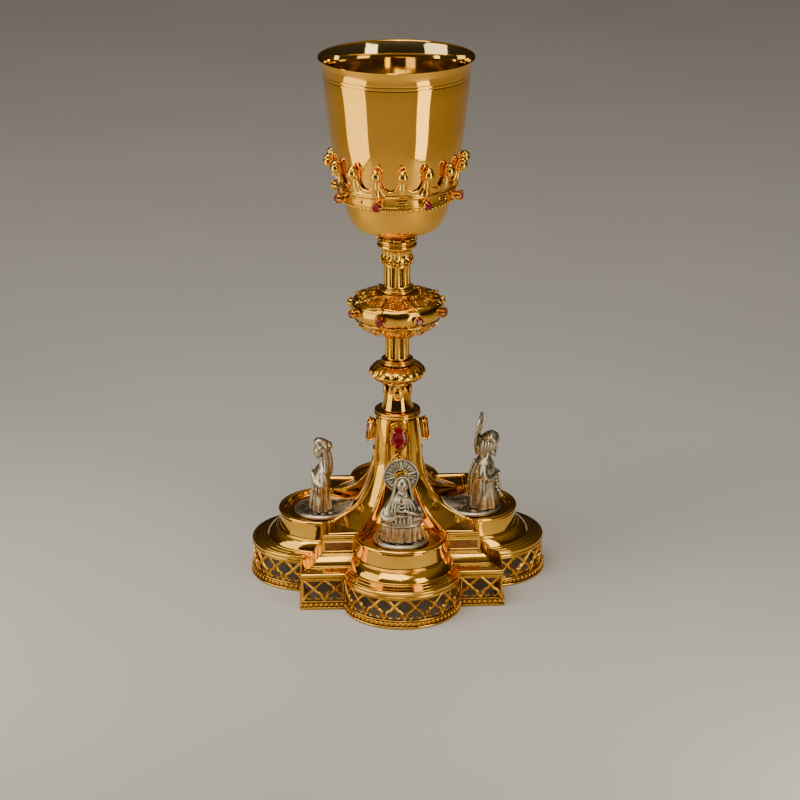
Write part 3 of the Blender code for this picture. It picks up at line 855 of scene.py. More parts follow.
def add_crown():
    band = [
        (31.45, 231.3), (33.1, 231.3), (33.45, 231.5), (33.45, 232.0), (33.15, 232.2), (33.25, 236.3),
        (33.7, 236.5), (34.35, 237.0), (34.55, 237.6), (34.35, 238.1), (33.8, 238.35), (33.85, 239.0),
        (33.05, 239.0),
    ]
    parts = [turned(rounded(band, 0.22, steps=2))]
    add_crest(parts)
    for k in range(PRONGS):
        angle = CROWN_TURN + PRONG_STEP * k
        parts.append(curled_head(angle))
        if k % 2:
            parts.append(stem_collet(angle, CROWN_GEMS))
            parts.append(gem_strut(angle))
        else:
            parts.append(palmette(angle))
            parts.append(fret(angle))
    show("crown", gathered(parts), SHALLOW, ("crown_band",))


def add_crown_beads():
    """The row of beads under the crown, on its wire."""
    wire = turned(rounded([(31.1, 228.9), (32.0, 228.6), (32.4, 229.2), (32.5, 230.9), (31.5, 230.95)], 0.3))
    parts = [wire]
    for angle in evenly(72):
        bead = ball((32.35, 0, 229.75), 0.88, stretch=(0.8, 1.45, 1.0), sides=12, rings=7)
        parts.append(placed(bead, turn_by(angle)))
    show("crown_beads", gathered(parts), CHASED, ("crown_bead_wire",))


# ---------------------------------------------------------------- knop


def scroll(surface, angle, share, side, size, turns=1.5, lift=0.45, thick=0.42, start=0.0):
    """A raised spiral on a turned surface, which winds in towards share at angle."""
    t = np.linspace(0, 1, 34)
    wind = start + turns * TURN * t
    reach = size * (1 - 0.82 * t)
    where = share + reach * np.sin(wind) / shares_length(surface)
    radius = np.interp(where, surface.share, surface.line[:, 0])
    path = surface.at(angle + side * reach * np.cos(wind) / radius, where, lift)
    away = path * (1, 1, 0)
    away = away / np.linalg.norm(away, axis=1, keepdims=True) * 0.5 + (0, 0, 0.8)
    return gathered([tube(path, thick * (1 - 0.35 * t), away=away), ball(path[-1], thick * 1.6)])


def shares_length(surface):
    """The length of a turned surface's curve."""
    return np.linalg.norm(np.diff(surface.line, axis=0), axis=1).sum()


def add_knop_top():
    """The knop's upper shell: fans of leaf inside paired scrolls, and a curled tip over each jewel."""
    surface = Surface([
        (26.3, 166.95), (25.6, 168.1), (23.6, 169.4), (18.8, 171.0), (13.6, 172.1), (10.6, 172.5)
    ])
    sides, steps = 512, 70
    angles = np.arange(sides) * TURN / sides
    share = np.linspace(0, 1, steps)
    rows = []
    for s in share:
        ground = -0.18 * smoothstep(0.18, 0.3, s) * (1 - smoothstep(0.9, 0.97, s))
        rows.append(surface.at(angles, s, ground))
    for radius, height in (
        (BORE, 172.5), (BORE, 171.3), (13.2, 170.7), (18.2, 169.6), (23.0, 167.9), (24.7, 166.95)
    ):
        rows.append(polar(radius, angles, height))
    parts = [skin(rows, tied=True)]
    parts.append(turned(rounded(
        [(9.8, 172.2), (11.2, 172.3), (11.3, 172.9), (10.6, 173.2), (9.8, 173.1)], 0.25
    )))
    for at_gem in evenly(GEMS_ROUND, KNOP_FIRST):
        between = at_gem + TURN / 16
        parts.append(leaf(surface, at_gem, 0.93, 0.06, 2.2, teeth=3, lift=0.35, curl=1.0))
        for side in (-1, 1):
            parts.append(scroll(
                surface, between + side * 0.215, 0.46, side, 3.5, turns=1.3, lift=-0.05, thick=0.46,
                start=-1.2,
            ))
            parts.append(scroll(
                surface, between + side * 0.10, 0.82, -side, 1.7, turns=1.0, lift=-0.05, thick=0.36,
                start=0.8,
            ))
            sweep = np.linspace(0, 1, 12)
            path = surface.at(at_gem + side * (0.03 + 0.12 * sweep), 0.20 + 0.55 * sweep, -0.05)
            parts.append(tube(
                path, 0.2 + 0.3 * np.sin(math.pi * (0.15 + 0.8 * sweep)), flat=0.8, away=(0, 0, 1)
            ))
        for lean in (-0.13, -0.065, 0, 0.065, 0.13):
            t = np.linspace(0, 1, 10)
            path = surface.at(between + lean * t * 1.35, 0.78 - t * (0.58 - 1.6 * abs(lean)), -0.12)
            parts.append(tube(
                path, 0.22 + 0.62 * np.sin(math.pi * np.clip(t * 0.85 + 0.1, 0, 1)), flat=0.6,
                away=(0, 0, 1),
            ))
    wave = np.linspace(0, TURN, 640, endpoint=False)
    dip = 0.10 + 0.10 * np.abs(np.cos(4 * (wave - KNOP_FIRST))) ** 0.8
    edge = surface.at(wave, dip, 0.1)
    parts.append(tube(edge, 0.36, closed=True, away=(0, 0, 1)))
    show("knop_upper_relief", gathered(parts), SHALLOW, ("knop_upper_shell",))


def add_knop_belt():
    """The knop's equator: smooth faces that bulge between the eight jewels."""
    sides = 384
    angles = np.arange(sides) * TURN / sides
    swell = 0.5 - 0.5 * np.cos(8 * (angles - KNOP_FIRST))
    profile = smooth_line(
        [(24.9, 158.9), (25.7, 159.7), (26.4, 161.2), (26.85, 163.2), (26.75, 165.2), (26.3, 166.6)], 5
    )
    bulge = np.sin(np.linspace(0, math.pi, len(profile)))
    rows = []
    for (radius, height), share in zip(profile, bulge):
        r = radius + 0.55 * share * (swell - 0.75)
        rows.append(polar(r, angles, height))
    for radius, height in ((21.5, 166.6), (21.5, 158.9)):
        rows.append(polar(radius, angles, height))
    show("knop_belt_faces", skin(rows, tied=True), POLISHED, ("knop_gem_belt",))
    collets = [stem_collet(angle, KNOP_GEMS) for angle in evenly(GEMS_ROUND, KNOP_FIRST)]
    show("knop_collets", gathered(collets), CHASED)


def add_knop_under():
    """The knop's lower shell, wrapped in leaves that reach up to the belt."""
    surface = Surface([
        (7.6, 148.4), (12.8, 149.2), (17.8, 150.9), (21.2, 153.8), (23.9, 156.7), (24.8, 158.5)
    ])
    inside = [(23.6, 158.6), (19.8, 154.6), (17.0, 152.1), (BORE, 149.6)]
    shell = turned(np.vstack([[(BORE, 148.3)], surface.line, inside]))
    parts = [shell]
    for at_gem in evenly(GEMS_ROUND, KNOP_FIRST):
        parts.append(leaf(surface, at_gem, 0.12, 0.90, 3.6, teeth=4, lift=0.6, curl=0.5))
        parts.append(leaf(surface, at_gem + TURN / 16, 0.10, 0.80, 2.7, teeth=4, lift=0.5, curl=0.2))
        for side in (-1, 1):
            parts.append(scroll(
                surface, at_gem + TURN / 16 + side * 0.16, 0.80, side, 1.7, turns=1.1, thick=0.3, lift=0.3
            ))
    parts.append(turned(rounded(
        [(6.5, 148.3), (9.0, 148.3), (9.3, 148.9), (8.6, 149.4), (6.5, 149.2)], 0.25
    )))
    wave = np.linspace(0, TURN, 480, endpoint=False)
    parts.append(tube(
        surface.at(wave, 0.955 - 0.02 * np.cos(16 * wave), 0.1), 0.34, closed=True, away=(0, 0, 1)
    ))
    show("knop_lower_relief", gathered(parts), SHALLOW, ("knop_lower_shell",))


# ---------------------------------------------------------------- foot

TOP_OUTLINE = {"half_side": 45.1, "centre": 43.4, "radius": 27.0}
OUTLINE_SPREAD = {"half_side": 14.1, "centre": 10.0, "radius": 7.35}
FLARE_REACH = 17.35
RISER_FOOT = 29.6
FLOOR_HEIGHT = 36.9


def outline_sizes(flare):
    """Half the square's side, and the lobe's centre and radius, for the outline at flare."""
    return [TOP_OUTLINE[key] + flare * OUTLINE_SPREAD[key] for key in ("half_side", "centre", "radius")]


def foot_outline(flare, arc_steps=64, face_steps=6):
    """The foot's outline, a square with a lobe on each side. flare is 0 at the top and 1 at the bottom."""
    half_side, centre, radius = outline_sizes(flare)
    half_chord = math.sqrt(radius**2 - (half_side - centre) ** 2)
    sweep = math.atan2(half_chord, half_side - centre)
    angles = np.linspace(-sweep, sweep, arc_steps + 1)
    steps = np.linspace(half_chord, half_side, face_steps + 1)
    arc = np.stack([centre + radius * np.cos(angles), radius * np.sin(angles)], axis=1)
    up = np.stack([np.full(face_steps, half_side), steps[1:]], axis=1)
    back = np.stack([steps[1:-1][::-1], np.full(face_steps - 1, half_side)], axis=1)
    quarter = np.vstack([arc, up, back])
    turns = [quarter]
    for _ in range(3):
        quarter = np.stack([-quarter[:, 1], quarter[:, 0]], axis=1)
        turns.append(quarter)
    return np.vstack(turns)


def foot_ring(section, radius=0.18, steps=2):
    """A moulding that follows the outline, from a closed section of (flare, height) points."""
    scaled = rounded(np.asarray(section, float) * (FLARE_REACH, 1), radius, steps)
    rows = []
    for out, height in scaled:
        outline = foot_outline(out / FLARE_REACH)
        rows.append(np.column_stack([outline, np.full(len(outline), height)]))
    return skin(rows, tied=True)


def add_cornice():
    """The foot's stepped shoulder: a double fillet, a ledge with fine steps and a hollow-backed slope."""
    section = [
        (0.84, 18.3), (0.925, 18.3), (0.945, 18.6), (0.945, 19.2), (0.925, 19.5), (0.925, 20.1),
        (0.945, 20.4), (0.94, 21.3), (0.90, 21.85), (0.865, 21.9), (0.86, 22.2), (0.70, 22.45),
        (0.695, 22.75), (0.53, 22.9), (0.52, 23.3), (0.455, 23.35), (0.42, 23.6), (0.385, 24.6),
        (0.335, 25.7), (0.265, 26.8), (0.18, 27.8), (0.11, 28.3), (0.105, 28.7), (0.07, 28.8), (0.06, 29.2),
        (0.02, 29.3), (-0.07, 29.3), (-0.07, 28.1), (0.08, 27.5), (0.24, 25.0), (0.35, 21.9), (0.84, 20.9),
    ]
    show("foot_shoulder", foot_ring(section), POLISHED, ("foot_cornice",))


BEAD_FLARE = 0.939
BEAD_STEP = 3.0


def add_base():
    """The flat flange that the chalice stands on, and the row of beads above it."""
    flange = [(0.80, 0), (0.99, 0), (1.0, 0.25), (1.0, 0.85), (0.985, 1.2), (0.80, 1.2)]
    show("foot_flange", foot_ring(flange, 0.12), POLISHED, ("base_flange",))
    line = foot_outline(BEAD_FLARE)
    line = np.vstack([line, line[:1]])
    length = np.linalg.norm(np.diff(line, axis=0), axis=1).sum()
    path = resampled(line, round(length / BEAD_STEP) + 1)[:-1]
    ahead = np.roll(path, -1, axis=0) - np.roll(path, 1, axis=0)
    ahead /= np.linalg.norm(ahead, axis=1, keepdims=True)
    parts = [foot_ring([(0.915, 1.5), (0.935, 1.5), (0.94, 2.4), (0.935, 3.5), (0.915, 3.5)], 0.1, 1)]
    for (x, y), (along_x, along_y) in zip(path, ahead):
        frame_of_bead = np.eye(4)
        frame_of_bead[:3, 0] = (along_x, along_y, 0)
        frame_of_bead[:3, 1] = (along_y, -along_x, 0)
        frame_of_bead[:3, 2] = (0.38 * along_x, 0.38 * along_y, 1)
        frame_of_bead[:3, 3] = (x, y, 2.6)
        parts.append(placed(
            ball((0, 0, 0), 1.1, stretch=(0.84, 0.95, 1.0), sides=12, rings=8), frame_of_bead
        ))
    show("foot_bead_row", gathered(parts), PATINA_AND_SHADE_GILDING, ("base_bead_wire",))


GALLERY_FLARE = 0.87
GALLERY_LOW = 4.6
GALLERY_HIGH = 18.0
CELLS_ON_LOBE = 8
CELLS_ON_FACE = 2
# One strand of the tracery, from its top corner to the foot of the cell: (share across, share up)
STRAND = [
    (0.03, 1.0), (0.27, 0.80), (0.5, 0.60), (0.60, 0.50), (0.68, 0.42), (0.77, 0.41), (0.81, 0.34),
    (0.88, 0.31), (0.87, 0.22), (0.94, 0.13), (1.0, 0.02),
]


def add_gallery():
    """The pierced band: crossed, cusped strands in each cell between an upper and a lower rail."""
    fine = 12
    walls = foot_outline(GALLERY_FLARE, arc_steps=CELLS_ON_LOBE * fine, face_steps=CELLS_ON_FACE * fine)
    inner = foot_outline(0.80, arc_steps=CELLS_ON_LOBE * fine, face_steps=CELLS_ON_FACE * fine)
    walls = np.vstack([walls, walls[:1]])
    inner = np.vstack([inner, inner[:1]])
    parts = []
    strand = np.array(STRAND)
    for start in range(0, len(walls) - 1, fine):
        cell, behind = walls[start : start + fine + 1], inner[start : start + fine + 1]
        place = np.linspace(0, 1, fine + 1)
        out = cell.mean(0) - behind.mean(0)
        away = (*(out / np.linalg.norm(out)), 0)

        def in_cell(across, up, lift=0.0):
            """A place in this cell, given by its shares across and up."""
            x = np.interp(across, place, cell[:, 0]) + lift * away[0]
            y = np.interp(across, place, cell[:, 1]) + lift * away[1]
            return np.stack([x, y, GALLERY_LOW + (GALLERY_HIGH - GALLERY_LOW) * up], axis=-1)

        for mirrored in (False, True):
            across = 1 - strand[:, 0] if mirrored else strand[:, 0]
            parts.append(tube(in_cell(across, strand[:, 1], 0.25), 0.42, sides=8, flat=1.3, away=away))
            parts.append(tube(in_cell(across, strand[:, 1], -0.5), 0.92, sides=8, flat=0.8, away=away))
            bend = np.linspace(-math.pi, 0, 9)
            cup = in_cell((0.70 if mirrored else 0.30) + 0.085 * np.cos(bend), 0.19 + 0.11 * np.sin(bend))
            parts.append(tube(cup, 0.36, sides=6, flat=1.6, away=away))
        parts.append(ball(in_cell(0.5, 0.60, 0.2), 0.95, sides=10, rings=6))
        parts.append(ball(in_cell(0.0, 0.05), 0.9, stretch=(1, 1, 1.3), sides=10, rings=6))
        parts.append(ball(in_cell(0.0, 0.96), 0.9, stretch=(1, 1, 1.1), sides=10, rings=6))
    parts.append(foot_ring([(0.83, 17.2), (0.905, 17.2), (0.905, 18.05), (0.83, 18.05)], 0.12, 1))
    parts.append(foot_ring([(0.83, 3.9), (0.925, 3.9), (0.94, 4.15), (0.925, 4.7), (0.83, 4.7)], 0.12, 1))
    parts.append(foot_ring([(0.83, 1.5), (0.90, 1.5), (0.90, 4.3), (0.83, 4.3)], 0.12, 1))
    half_side, centre, radius = outline_sizes(GALLERY_FLARE)
    half_chord = math.sqrt(radius**2 - (half_side - centre) ** 2)
    posts = []
    for x, y in ((half_side, half_side), (half_side, half_chord + 0.4), (half_chord + 0.4, half_side)):
        for shift in (-0.75, 0.75):
            if x == y and shift > 0:
                continue
            post = [(x + shift * (x != y), y - shift * (x != y), z) for z in (1.6, 6, 12, 18.0)]
            posts.append(tube(post, 0.62, sides=10))
    parts.append(fourfold(gathered(posts)))
    show("foot_tracery_gallery", gathered(parts), PATINA_AND_SHADE_GILDING, ("gallery",))


# ---------------------------------------------------------------- hood

FACET = [
    (12.4, 97.6), (12.8, 96.4), (13.6, 89.9), (14.9, 77.5), (15.2, 70.5), (16.7, 63.6), (18.6, 58.9),
    (21.7, 54.2), (25.7, 49.6), (29.1, 46.5), (35.3, 43.4), (45.0, 40.3),
]
PANEL = [
    (11.5, 97.6), (11.9, 96.4), (12.7, 89.9), (13.9, 77.5), (14.3, 70.5), (15.9, 64.0), (17.6, 58.5),
    (19.5, 52.8), (22.0, 47.2), (25.0, 42.8), (29.0, 39.2), (34.5, FLOOR_HEIGHT),
]
FACET_RIM = [
    (-5.6, 39.55), (-4.9, 40.1), (-4.2, 39.7), (-3.7, 39.7), (-3.0, 40.2), (-1.8, 40.3), (-0.6, 40.3),
    (0.2, 40.0), (0.5, 39.3), (0.4, 38.5), (0.1, 37.9), (0.1, 37.2),
]
PANEL_RIM = [
    (-5.5, 36.9), (-5.1, 37.8), (-4.6, 38.2), (-4.1, 38.0), (-3.6, 38.8), (-2.7, 39.8), (-1.5, 40.3),
    (-0.5, 40.2), (0.2, 39.7), (0.5, 39.0), (0.3, 38.2), (0.1, 37.4),
]
BORDER_TOP = rad(27.0)
BORDER_FOOT = math.atan2(26.95, 45.1)
BORDER_HALF = 1.15
HOOD_WALL = 1.2
HOOD_ROWS = 84


def outline_reach(angle):
    """How far the top outline lies from the axis, at an angle measured from a lobe's middle."""
    half_side, centre, radius = outline_sizes(0)
    a = (angle + QUARTER / 2) % QUARTER - QUARTER / 2
    on_lobe = centre * np.cos(a) + np.sqrt(np.clip(radius**2 - (centre * np.sin(a)) ** 2, 0, None))
    on_face = half_side / np.cos(a)
    return np.where(np.abs(a) < BORDER_FOOT, on_lobe, on_face)


def hood_columns(border, half):
    """The angles of one quarter of the hood, from a lobe's middle to the next, and where each lies.
    The second array is 0 in the panel and 1 on the facet, and runs between them across a border."""
    panel = np.linspace(0, 1, 26)[:-1]
    edge = np.linspace(0, 1, 15)
    facet = np.linspace(0, 1, 26)[1:-1]
    middle = QUARTER / 2
    up = [
        panel * (border - half), border - half + edge * 2 * half,
        border + half + facet * (middle - border - half),
    ]
    where = [0 * panel, edge, 0 * facet + 1]
    angles, where = np.concatenate(up), np.concatenate(where)
    angles = np.concatenate([angles, [middle], 2 * middle - angles[::-1][:-1]])
    return angles, np.concatenate([where, [1], where[::-1][:-1]])


def hood_row(panel_point, facet_point, border, raised):
    """One closed row of the hood. A point is (radius, height), or (reach past the outline, height, True)."""
    half = math.asin(min(0.4, BORDER_HALF / max(panel_point[0] if len(panel_point) == 2 else 52.0, 6.0)))
    quarter, where = hood_columns(border, half)
    share = smoothstep(0.0, 0.42, where)
    ridge = 0.85 * (bell(where, 0.30, 0.14) + bell(where, 0.76, 0.13)) * raised
    angles = np.concatenate([quarter + QUARTER * k for k in range(4)])
    share, ridge = np.tile(share, 4), np.tile(ridge, 4)
    radii = []
    for point in (panel_point, facet_point):
        radii.append(point[0] + (outline_reach(angles) if len(point) == 3 else 0 * angles))
    radius = radii[0] * (1 - share) + radii[1] * share
    height = panel_point[1] * (1 - share) + facet_point[1] * share
    steep = 0.75 if len(panel_point) == 2 and height.max() > 55 else 0.25
    radius = radius + ridge * steep
    height = height + ridge * (1 - steep)
    return polar(radius, angles, height)


def border_at(row):
    """The angle of a panel's border, which spreads towards the foot."""
    return BORDER_TOP + (BORDER_FOOT - BORDER_TOP) * smoothstep(0.1, 0.75, row / (HOOD_ROWS - 1))


def add_hood():
    """The foot's hood: facets over the corners, sunk panels over the lobes and double-ridged borders."""
    panel, facet = (resampled(smooth_line(line, 8), HOOD_ROWS) for line in (PANEL, FACET))
    rows = []
    for k, (p, f) in enumerate(zip(panel, facet)):
        rows.append(hood_row(tuple(p), tuple(f), border_at(k), 1.0))
    floor = np.linspace(0, 1, 5)[1:-1]
    for t in floor:
        out = panel[-1][0] + t * (46.0 - panel[-1][0])
        rows.append(hood_row((out, FLOOR_HEIGHT), (45.0 + t * 1.0, 40.3 - 0.3 * t), BORDER_FOOT, 1.0))
    for p, f in zip(smooth_line(PANEL_RIM, 3), smooth_line(FACET_RIM, 3)):
        fade = 1 - smoothstep(-5.5, -2.5, p[0])
        rows.append(hood_row((*p, True), (*f, True), BORDER_FOOT, fade))
    for p, f in (
        ((0.1, RISER_FOOT), (0.1, RISER_FOOT)), ((-HOOD_WALL, RISER_FOOT), (-HOOD_WALL, RISER_FOOT)),
        ((-HOOD_WALL, 35.6), (-HOOD_WALL, 38.2)), ((-5.2, 35.6), (-5.2, 38.2)),
    ):
        rows.append(hood_row((*p, True), (*f, True), BORDER_FOOT, 0.0))
    for k in range(HOOD_ROWS - 1, 3, -4):
        p, f = panel[k], facet[k]
        wall = [(x - HOOD_WALL, z - 0.9) for x, z in (p, f)]
        rows.append(hood_row(*wall, border_at(k), 0.0))
    for point in ((BORE, 95.8), (BORE, 97.6)):
        rows.append(hood_row(point, point, BORDER_TOP, 0.0))
    show("foot_hood_shell", skin(rows, tied=True), POLISHED, ("foot_hood",), sharp=50)


PLAQUE = {"from": 27.6, "to": 44.7, "low": 29.9, "high": 36.5, "face": 45.2}


def add_plaques():
    """The engraved copper plaques on the risers of the four corners, each in a raised gilt frame."""
    middle, half = (PLAQUE["from"] + PLAQUE["to"]) / 2, (PLAQUE["to"] - PLAQUE["from"]) / 2
    centre, tall = (PLAQUE["low"] + PLAQUE["high"]) / 2, (PLAQUE["high"] - PLAQUE["low"]) / 2
    frames, grounds = [], []
    wide, high = 72, 26
    y = np.linspace(-half + 0.5, half - 0.5, wide)[:, None]
    z = np.linspace(-tall + 0.5, tall - 0.5, high)[None, :]
    vine = 0.62 * tall * np.sin(y * TURN / 8.0) * 0.6
    pattern = bell(z, vine, 0.45) + 0.8 * bell(z, -vine, 0.35) + 0.5 * bell(np.abs(z), tall - 1.0, 0.25)
    ground = np.stack([0.08 + 0.16 * pattern + 0 * y * z, y + 0 * z, z + 0 * y], axis=-1)
    back = np.stack([0 * y * z - 0.15, y + 0 * z, z + 0 * y], axis=-1)
    slab = skin(np.concatenate([ground, back[:, ::-1]], axis=1), capped=True)
    outline = [(-half, -tall), (half, -tall), (half, tall), (-half, tall)]
    rows = []
    for inset, depth in ((0, -0.1), (0, 0.3), (0.2, 0.48), (0.55, 0.5), (0.75, 0.3), (0.8, -0.1)):
        rows.append([(depth, yy * (1 - inset / half), zz * (1 - inset / tall)) for yy, zz in outline])
    border = skin(rows, tied=True)
    for quarter in range(4):
        for flip in (1, -1):
            where = turn_by(QUARTER * quarter) @ Matrix.Diagonal((1, flip, 1, 1))
            place = where @ Matrix.Translation((PLAQUE["face"], middle, centre))
            frames.append(placed(border, place))
            grounds.append(placed(slab, place))
    show("riser_plaque_frames", gathered(frames), CHASED)
    show("riser_plaque_grounds", gathered(grounds), COPPER)


def on_panel(height, aside, lift=0.2):
    """A point on the front of a lobe's panel, facing +X."""
    line = np.array(PANEL)[::-1]
    radius = np.interp(height, line[:, 1], line[:, 0])
    return (math.sqrt(max(radius**2 - aside**2, 1.0)) + lift, aside, height)


def pointed_arch(half, foot, spring, peak):
    """The right half of a pointed arch, as (aside, height) points."""
    side = [(half, foot), (half, (foot + spring) / 2), (half, spring)]
    shoulder = [(0.93, 0.35), (0.62, 0.72)]
    return smooth_line(
        side + [(half * x, spring + (peak - spring) * z) for x, z in shoulder] + [(0.0, peak)], 7
    )


def add_panel_tracery():
    """Blind tracery round each ruby: a doubled pointed arch with lobes, and a small arch below it."""
    pieces = []
    for half, foot, spring, peak, size in (
        (6.1, 70.5, 88.5, 97.2, 0.60), (5.0, 71.5, 88.0, 95.6, 0.38), (4.4, 62.5, 71.5, 77.6, 0.48),
    ):
        arch = pointed_arch(half, foot, spring, peak)
        for side in (-1, 1):
            pieces.append(tube(
                [on_panel(z, side * x, 0.3) for x, z in arch], size, sides=8, away=(1, 0, 0.1)
            ))
    for aside, height, size in (
        (0, 94.0, 1.25), (-2.6, 91.6, 1.0), (2.6, 91.6, 1.0), (0, 75.0, 1.0), (-2.0, 72.8, 0.8),
        (2.0, 72.8, 0.8),
    ):
        ring = [
            on_panel(height + size * math.sin(a), aside + size * math.cos(a), 0.15)
            for a in np.linspace(0, TURN, 25)[:-1]
        ]
        pieces.append(tube(ring, 0.36, sides=6, closed=True, away=(1, 0, 0.1)))
    for side in (-1, 1):
        column = [on_panel(z, side * 5.75, 0.3) for z in (71.2, 72.0, 73.0)]
        pieces.append(tube(column, [0.9, 0.6, 0.75], sides=10, away=(1, 0, 0.1)))
        pieces.append(ball(on_panel(88.6, side * 5.75, 0.35), 0.8, sides=12, rings=8))
        line = [on_panel(z, side * x, 0.15) for x, z in ((5.4, 70.8), (4.9, 66.0), (4.4, 60.0), (3.6, 55.0))]
        pieces.append(tube(smooth_line(line, 4), 0.3, sides=8, away=(1, 0, 0.3)))
    show("panel_tracery", fourfold(gathered(pieces)), CHASED)


# ---------------------------------------------------------------- figures

# A figure is made facing out along +X, and turned to its lobe. Its places are (out, aside, height).
FIGURE_VOXEL = 0.30
FOLD_LIFT = 0.25
PLATE = {"centre": 45.2, "radius": 16.2, "tip": 25.4}


def cast(parts):
    """Melts overlapping closed shapes into one smooth skin, as a cast figure has."""
    points, faces = gathered(parts)
    mesh = bpy.data.meshes.new("cast")
    mesh.from_pydata((points * MM).tolist(), [], faces)
    rough = linked("cast", mesh)
    melt = rough.modifiers.new("melt", "REMESH")
    melt.mode = "VOXEL"
    melt.voxel_size = FIGURE_VOXEL * MM
    soften = rough.modifiers.new("soften", "SMOOTH")
    soften.factor = 0.5
    soften.iterations = 2
    shaped = rough.evaluated_get(bpy.context.evaluated_depsgraph_get()).to_mesh()
    points = np.array([v.co for v in shaped.vertices]) / MM
    faces = [list(face.vertices) for face in shaped.polygons]
    rough.to_mesh_clear()
    bpy.data.objects.remove(rough)
    bpy.data.meshes.remove(mesh)
    return points, faces


def robe(sections, folds, depth, top, phase=0.0):
    """A draped body from (height, half depth, half width, out) sections, pleated below the height top."""
    sides = 220
    line = resampled(smooth_line(sections, 6), 60)
    angles = np.arange(sides) * TURN / sides
    rows = []
    for height, half_depth, half_width, out in line:
        fall = smoothstep(top + 1.5, top - 4.0, height) if top else 0.0
        drift = 0.5 * math.sin(height * 0.21 + phase)
        wave = np.cos(folds * angles + drift) + 0.45 * np.cos((folds * 2 - 3) * angles - 1.3 * drift + phase)
        soft = 0.22 * np.cos(5 * angles + 0.16 * height + phase)
        swell = 1 + (depth * fall * wave + 0.16 * soft) / max(half_width, 3.0)
        x = out + half_depth * swell * np.cos(angles)
        y = half_width * swell * np.sin(angles)
        rows.append(np.stack([x, y, np.full(sides, height)], axis=1))
    return skin(rows, capped=True)


def on_robe(sections, height, aside):
    """A point on the front of a draped body, aside from its middle."""
    heights, *sizes = np.array(sections).T
    half_depth, half_width, out = (np.interp(height, heights, size) for size in sizes)
    return (
        out + half_depth * math.sqrt(max(1 - (aside / half_width) ** 2, 0.05)) + FOLD_LIFT, aside, height
    )


def limb(points, sizes, flat=1.0):
    path = smooth_line(points, 5)
    radii = np.interp(np.linspace(0, 1, len(path)), np.linspace(0, 1, len(sizes)), sizes)
    return tube(path, radii, sides=14, flat=flat, away=(1, 0, 0.2))


def fold(points, size=0.55):
    """One raised fold of cloth, tapering at both ends."""
    path = smooth_line(points, 5)
    return tube(
        path, size * (0.35 + 0.65 * np.sin(np.linspace(0.15, math.pi - 0.15, len(path)))), sides=8,
        away=(1, 0, 0.3),
    )


def head(place, width, depth, height, bow=0.0):
    """A calm, even-featured head that looks out along +X and bows by an angle."""
    sides, rings = 72, 56
    lean = np.linspace(0, math.pi, rings + 2)[1:-1][::-1][:, None]
    turn = (np.arange(sides) * TURN / sides)[None, :]
    x, y, z = np.sin(lean) * np.cos(turn), np.sin(lean) * np.sin(turn), np.cos(lean) + 0 * turn
    front = smoothstep(0.15, 0.6, x)
    jaw = 1 - 0.22 * smoothstep(-0.2, -1.0, z)
    features = -0.50 * bell(np.abs(y), 0.34, 0.20) * bell(z, 0.02, 0.15)
    features += 0.30 * bell(np.abs(y), 0.34, 0.11) * bell(z, 0.01, 0.07)
    features += 0.26 * bell(z, 0.20, 0.09) * bell(y, 0, 0.62)
    nose = (0.45 + 0.85 * smoothstep(0.15, -0.27, z)) * bell(y, 0, 0.115)
    features += nose * smoothstep(-0.36, -0.27, z) * smoothstep(0.24, 0.1, z)
    features += 0.30 * bell(np.abs(y), 0.13, 0.08) * bell(z, -0.27, 0.07)
    features += 0.34 * bell(y, 0, 0.22) * (bell(z, -0.45, 0.055) + bell(z, -0.57, 0.06))
    features += 0.48 * bell(y, 0, 0.26) * bell(z, -0.80, 0.14)
    swell = 1 + 1.5 * front * features / depth
    rows = np.stack([x * depth * swell, y * width * jaw, z * height], axis=-1)
    shape = skin(rows, capped=True)
    return placed(shape, Matrix.Translation(place) @ Matrix.Rotation(bow, 4, "Y"))


def locks(place, width, depth, height, fall, spread, count=11, size=0.75):
    """Hair combed from a parting over the crown and down both sides, to fall below the head's middle."""
    out, aside, middle = place
    parts = [ball(
        (out - 0.7, aside, middle + 0.5), 1.0, stretch=(depth * 0.96, width * 0.98, height * 0.97),
        sides=28, rings=16,
    )]
    for side in (-1, 1):
        for k in range(count):
            t = k / (count - 1)
            side_y = side * (0.62 + 0.38 * math.sin(math.pi * min(t + 0.25, 1)))
            line = [
                (out + depth * (0.55 - 1.15 * t), aside + side * 0.25, middle + height * (1.02 - 0.25 * t)),
                (
                    out + depth * (0.62 - 1.35 * t) * 0.95, aside + side_y * width * 0.75,
                    middle + height * (0.75 - 0.2 * t),
                ),
                (out + depth * (0.50 - 1.35 * t), aside + side_y * width * 1.10, middle + height * 0.05),
                (out + depth * (0.40 - 1.30 * t), aside + side_y * width * 1.18, middle - height * 0.65),
                (out + depth * (0.42 - 1.35 * t), aside + side_y * width * (1.05 + spread), middle - fall),
            ]
            parts.append(limb(line, [size * 0.6, size, size, size * 0.9, size * 0.45]))
    return parts


def beard(place, width, height, length):
    out, aside, middle = place
    parts = []
    for k in range(7):
        t = k / 6 * 2 - 1
        line = [
            (out + 2.6 - 1.2 * abs(t), aside + t * width * 0.8, middle - height * 0.45),
            (out + 3.4 - 1.2 * abs(t), aside + t * width * 0.62, middle - height * 0.85),
            (
                out + 3.0 - 0.8 * abs(t), aside + t * width * 0.3,
                middle - height * 0.85 - length * (1 - 0.4 * abs(t)),
            ),
        ]
        parts.append(limb(line, [0.55, 0.8, 0.35]))
    return parts


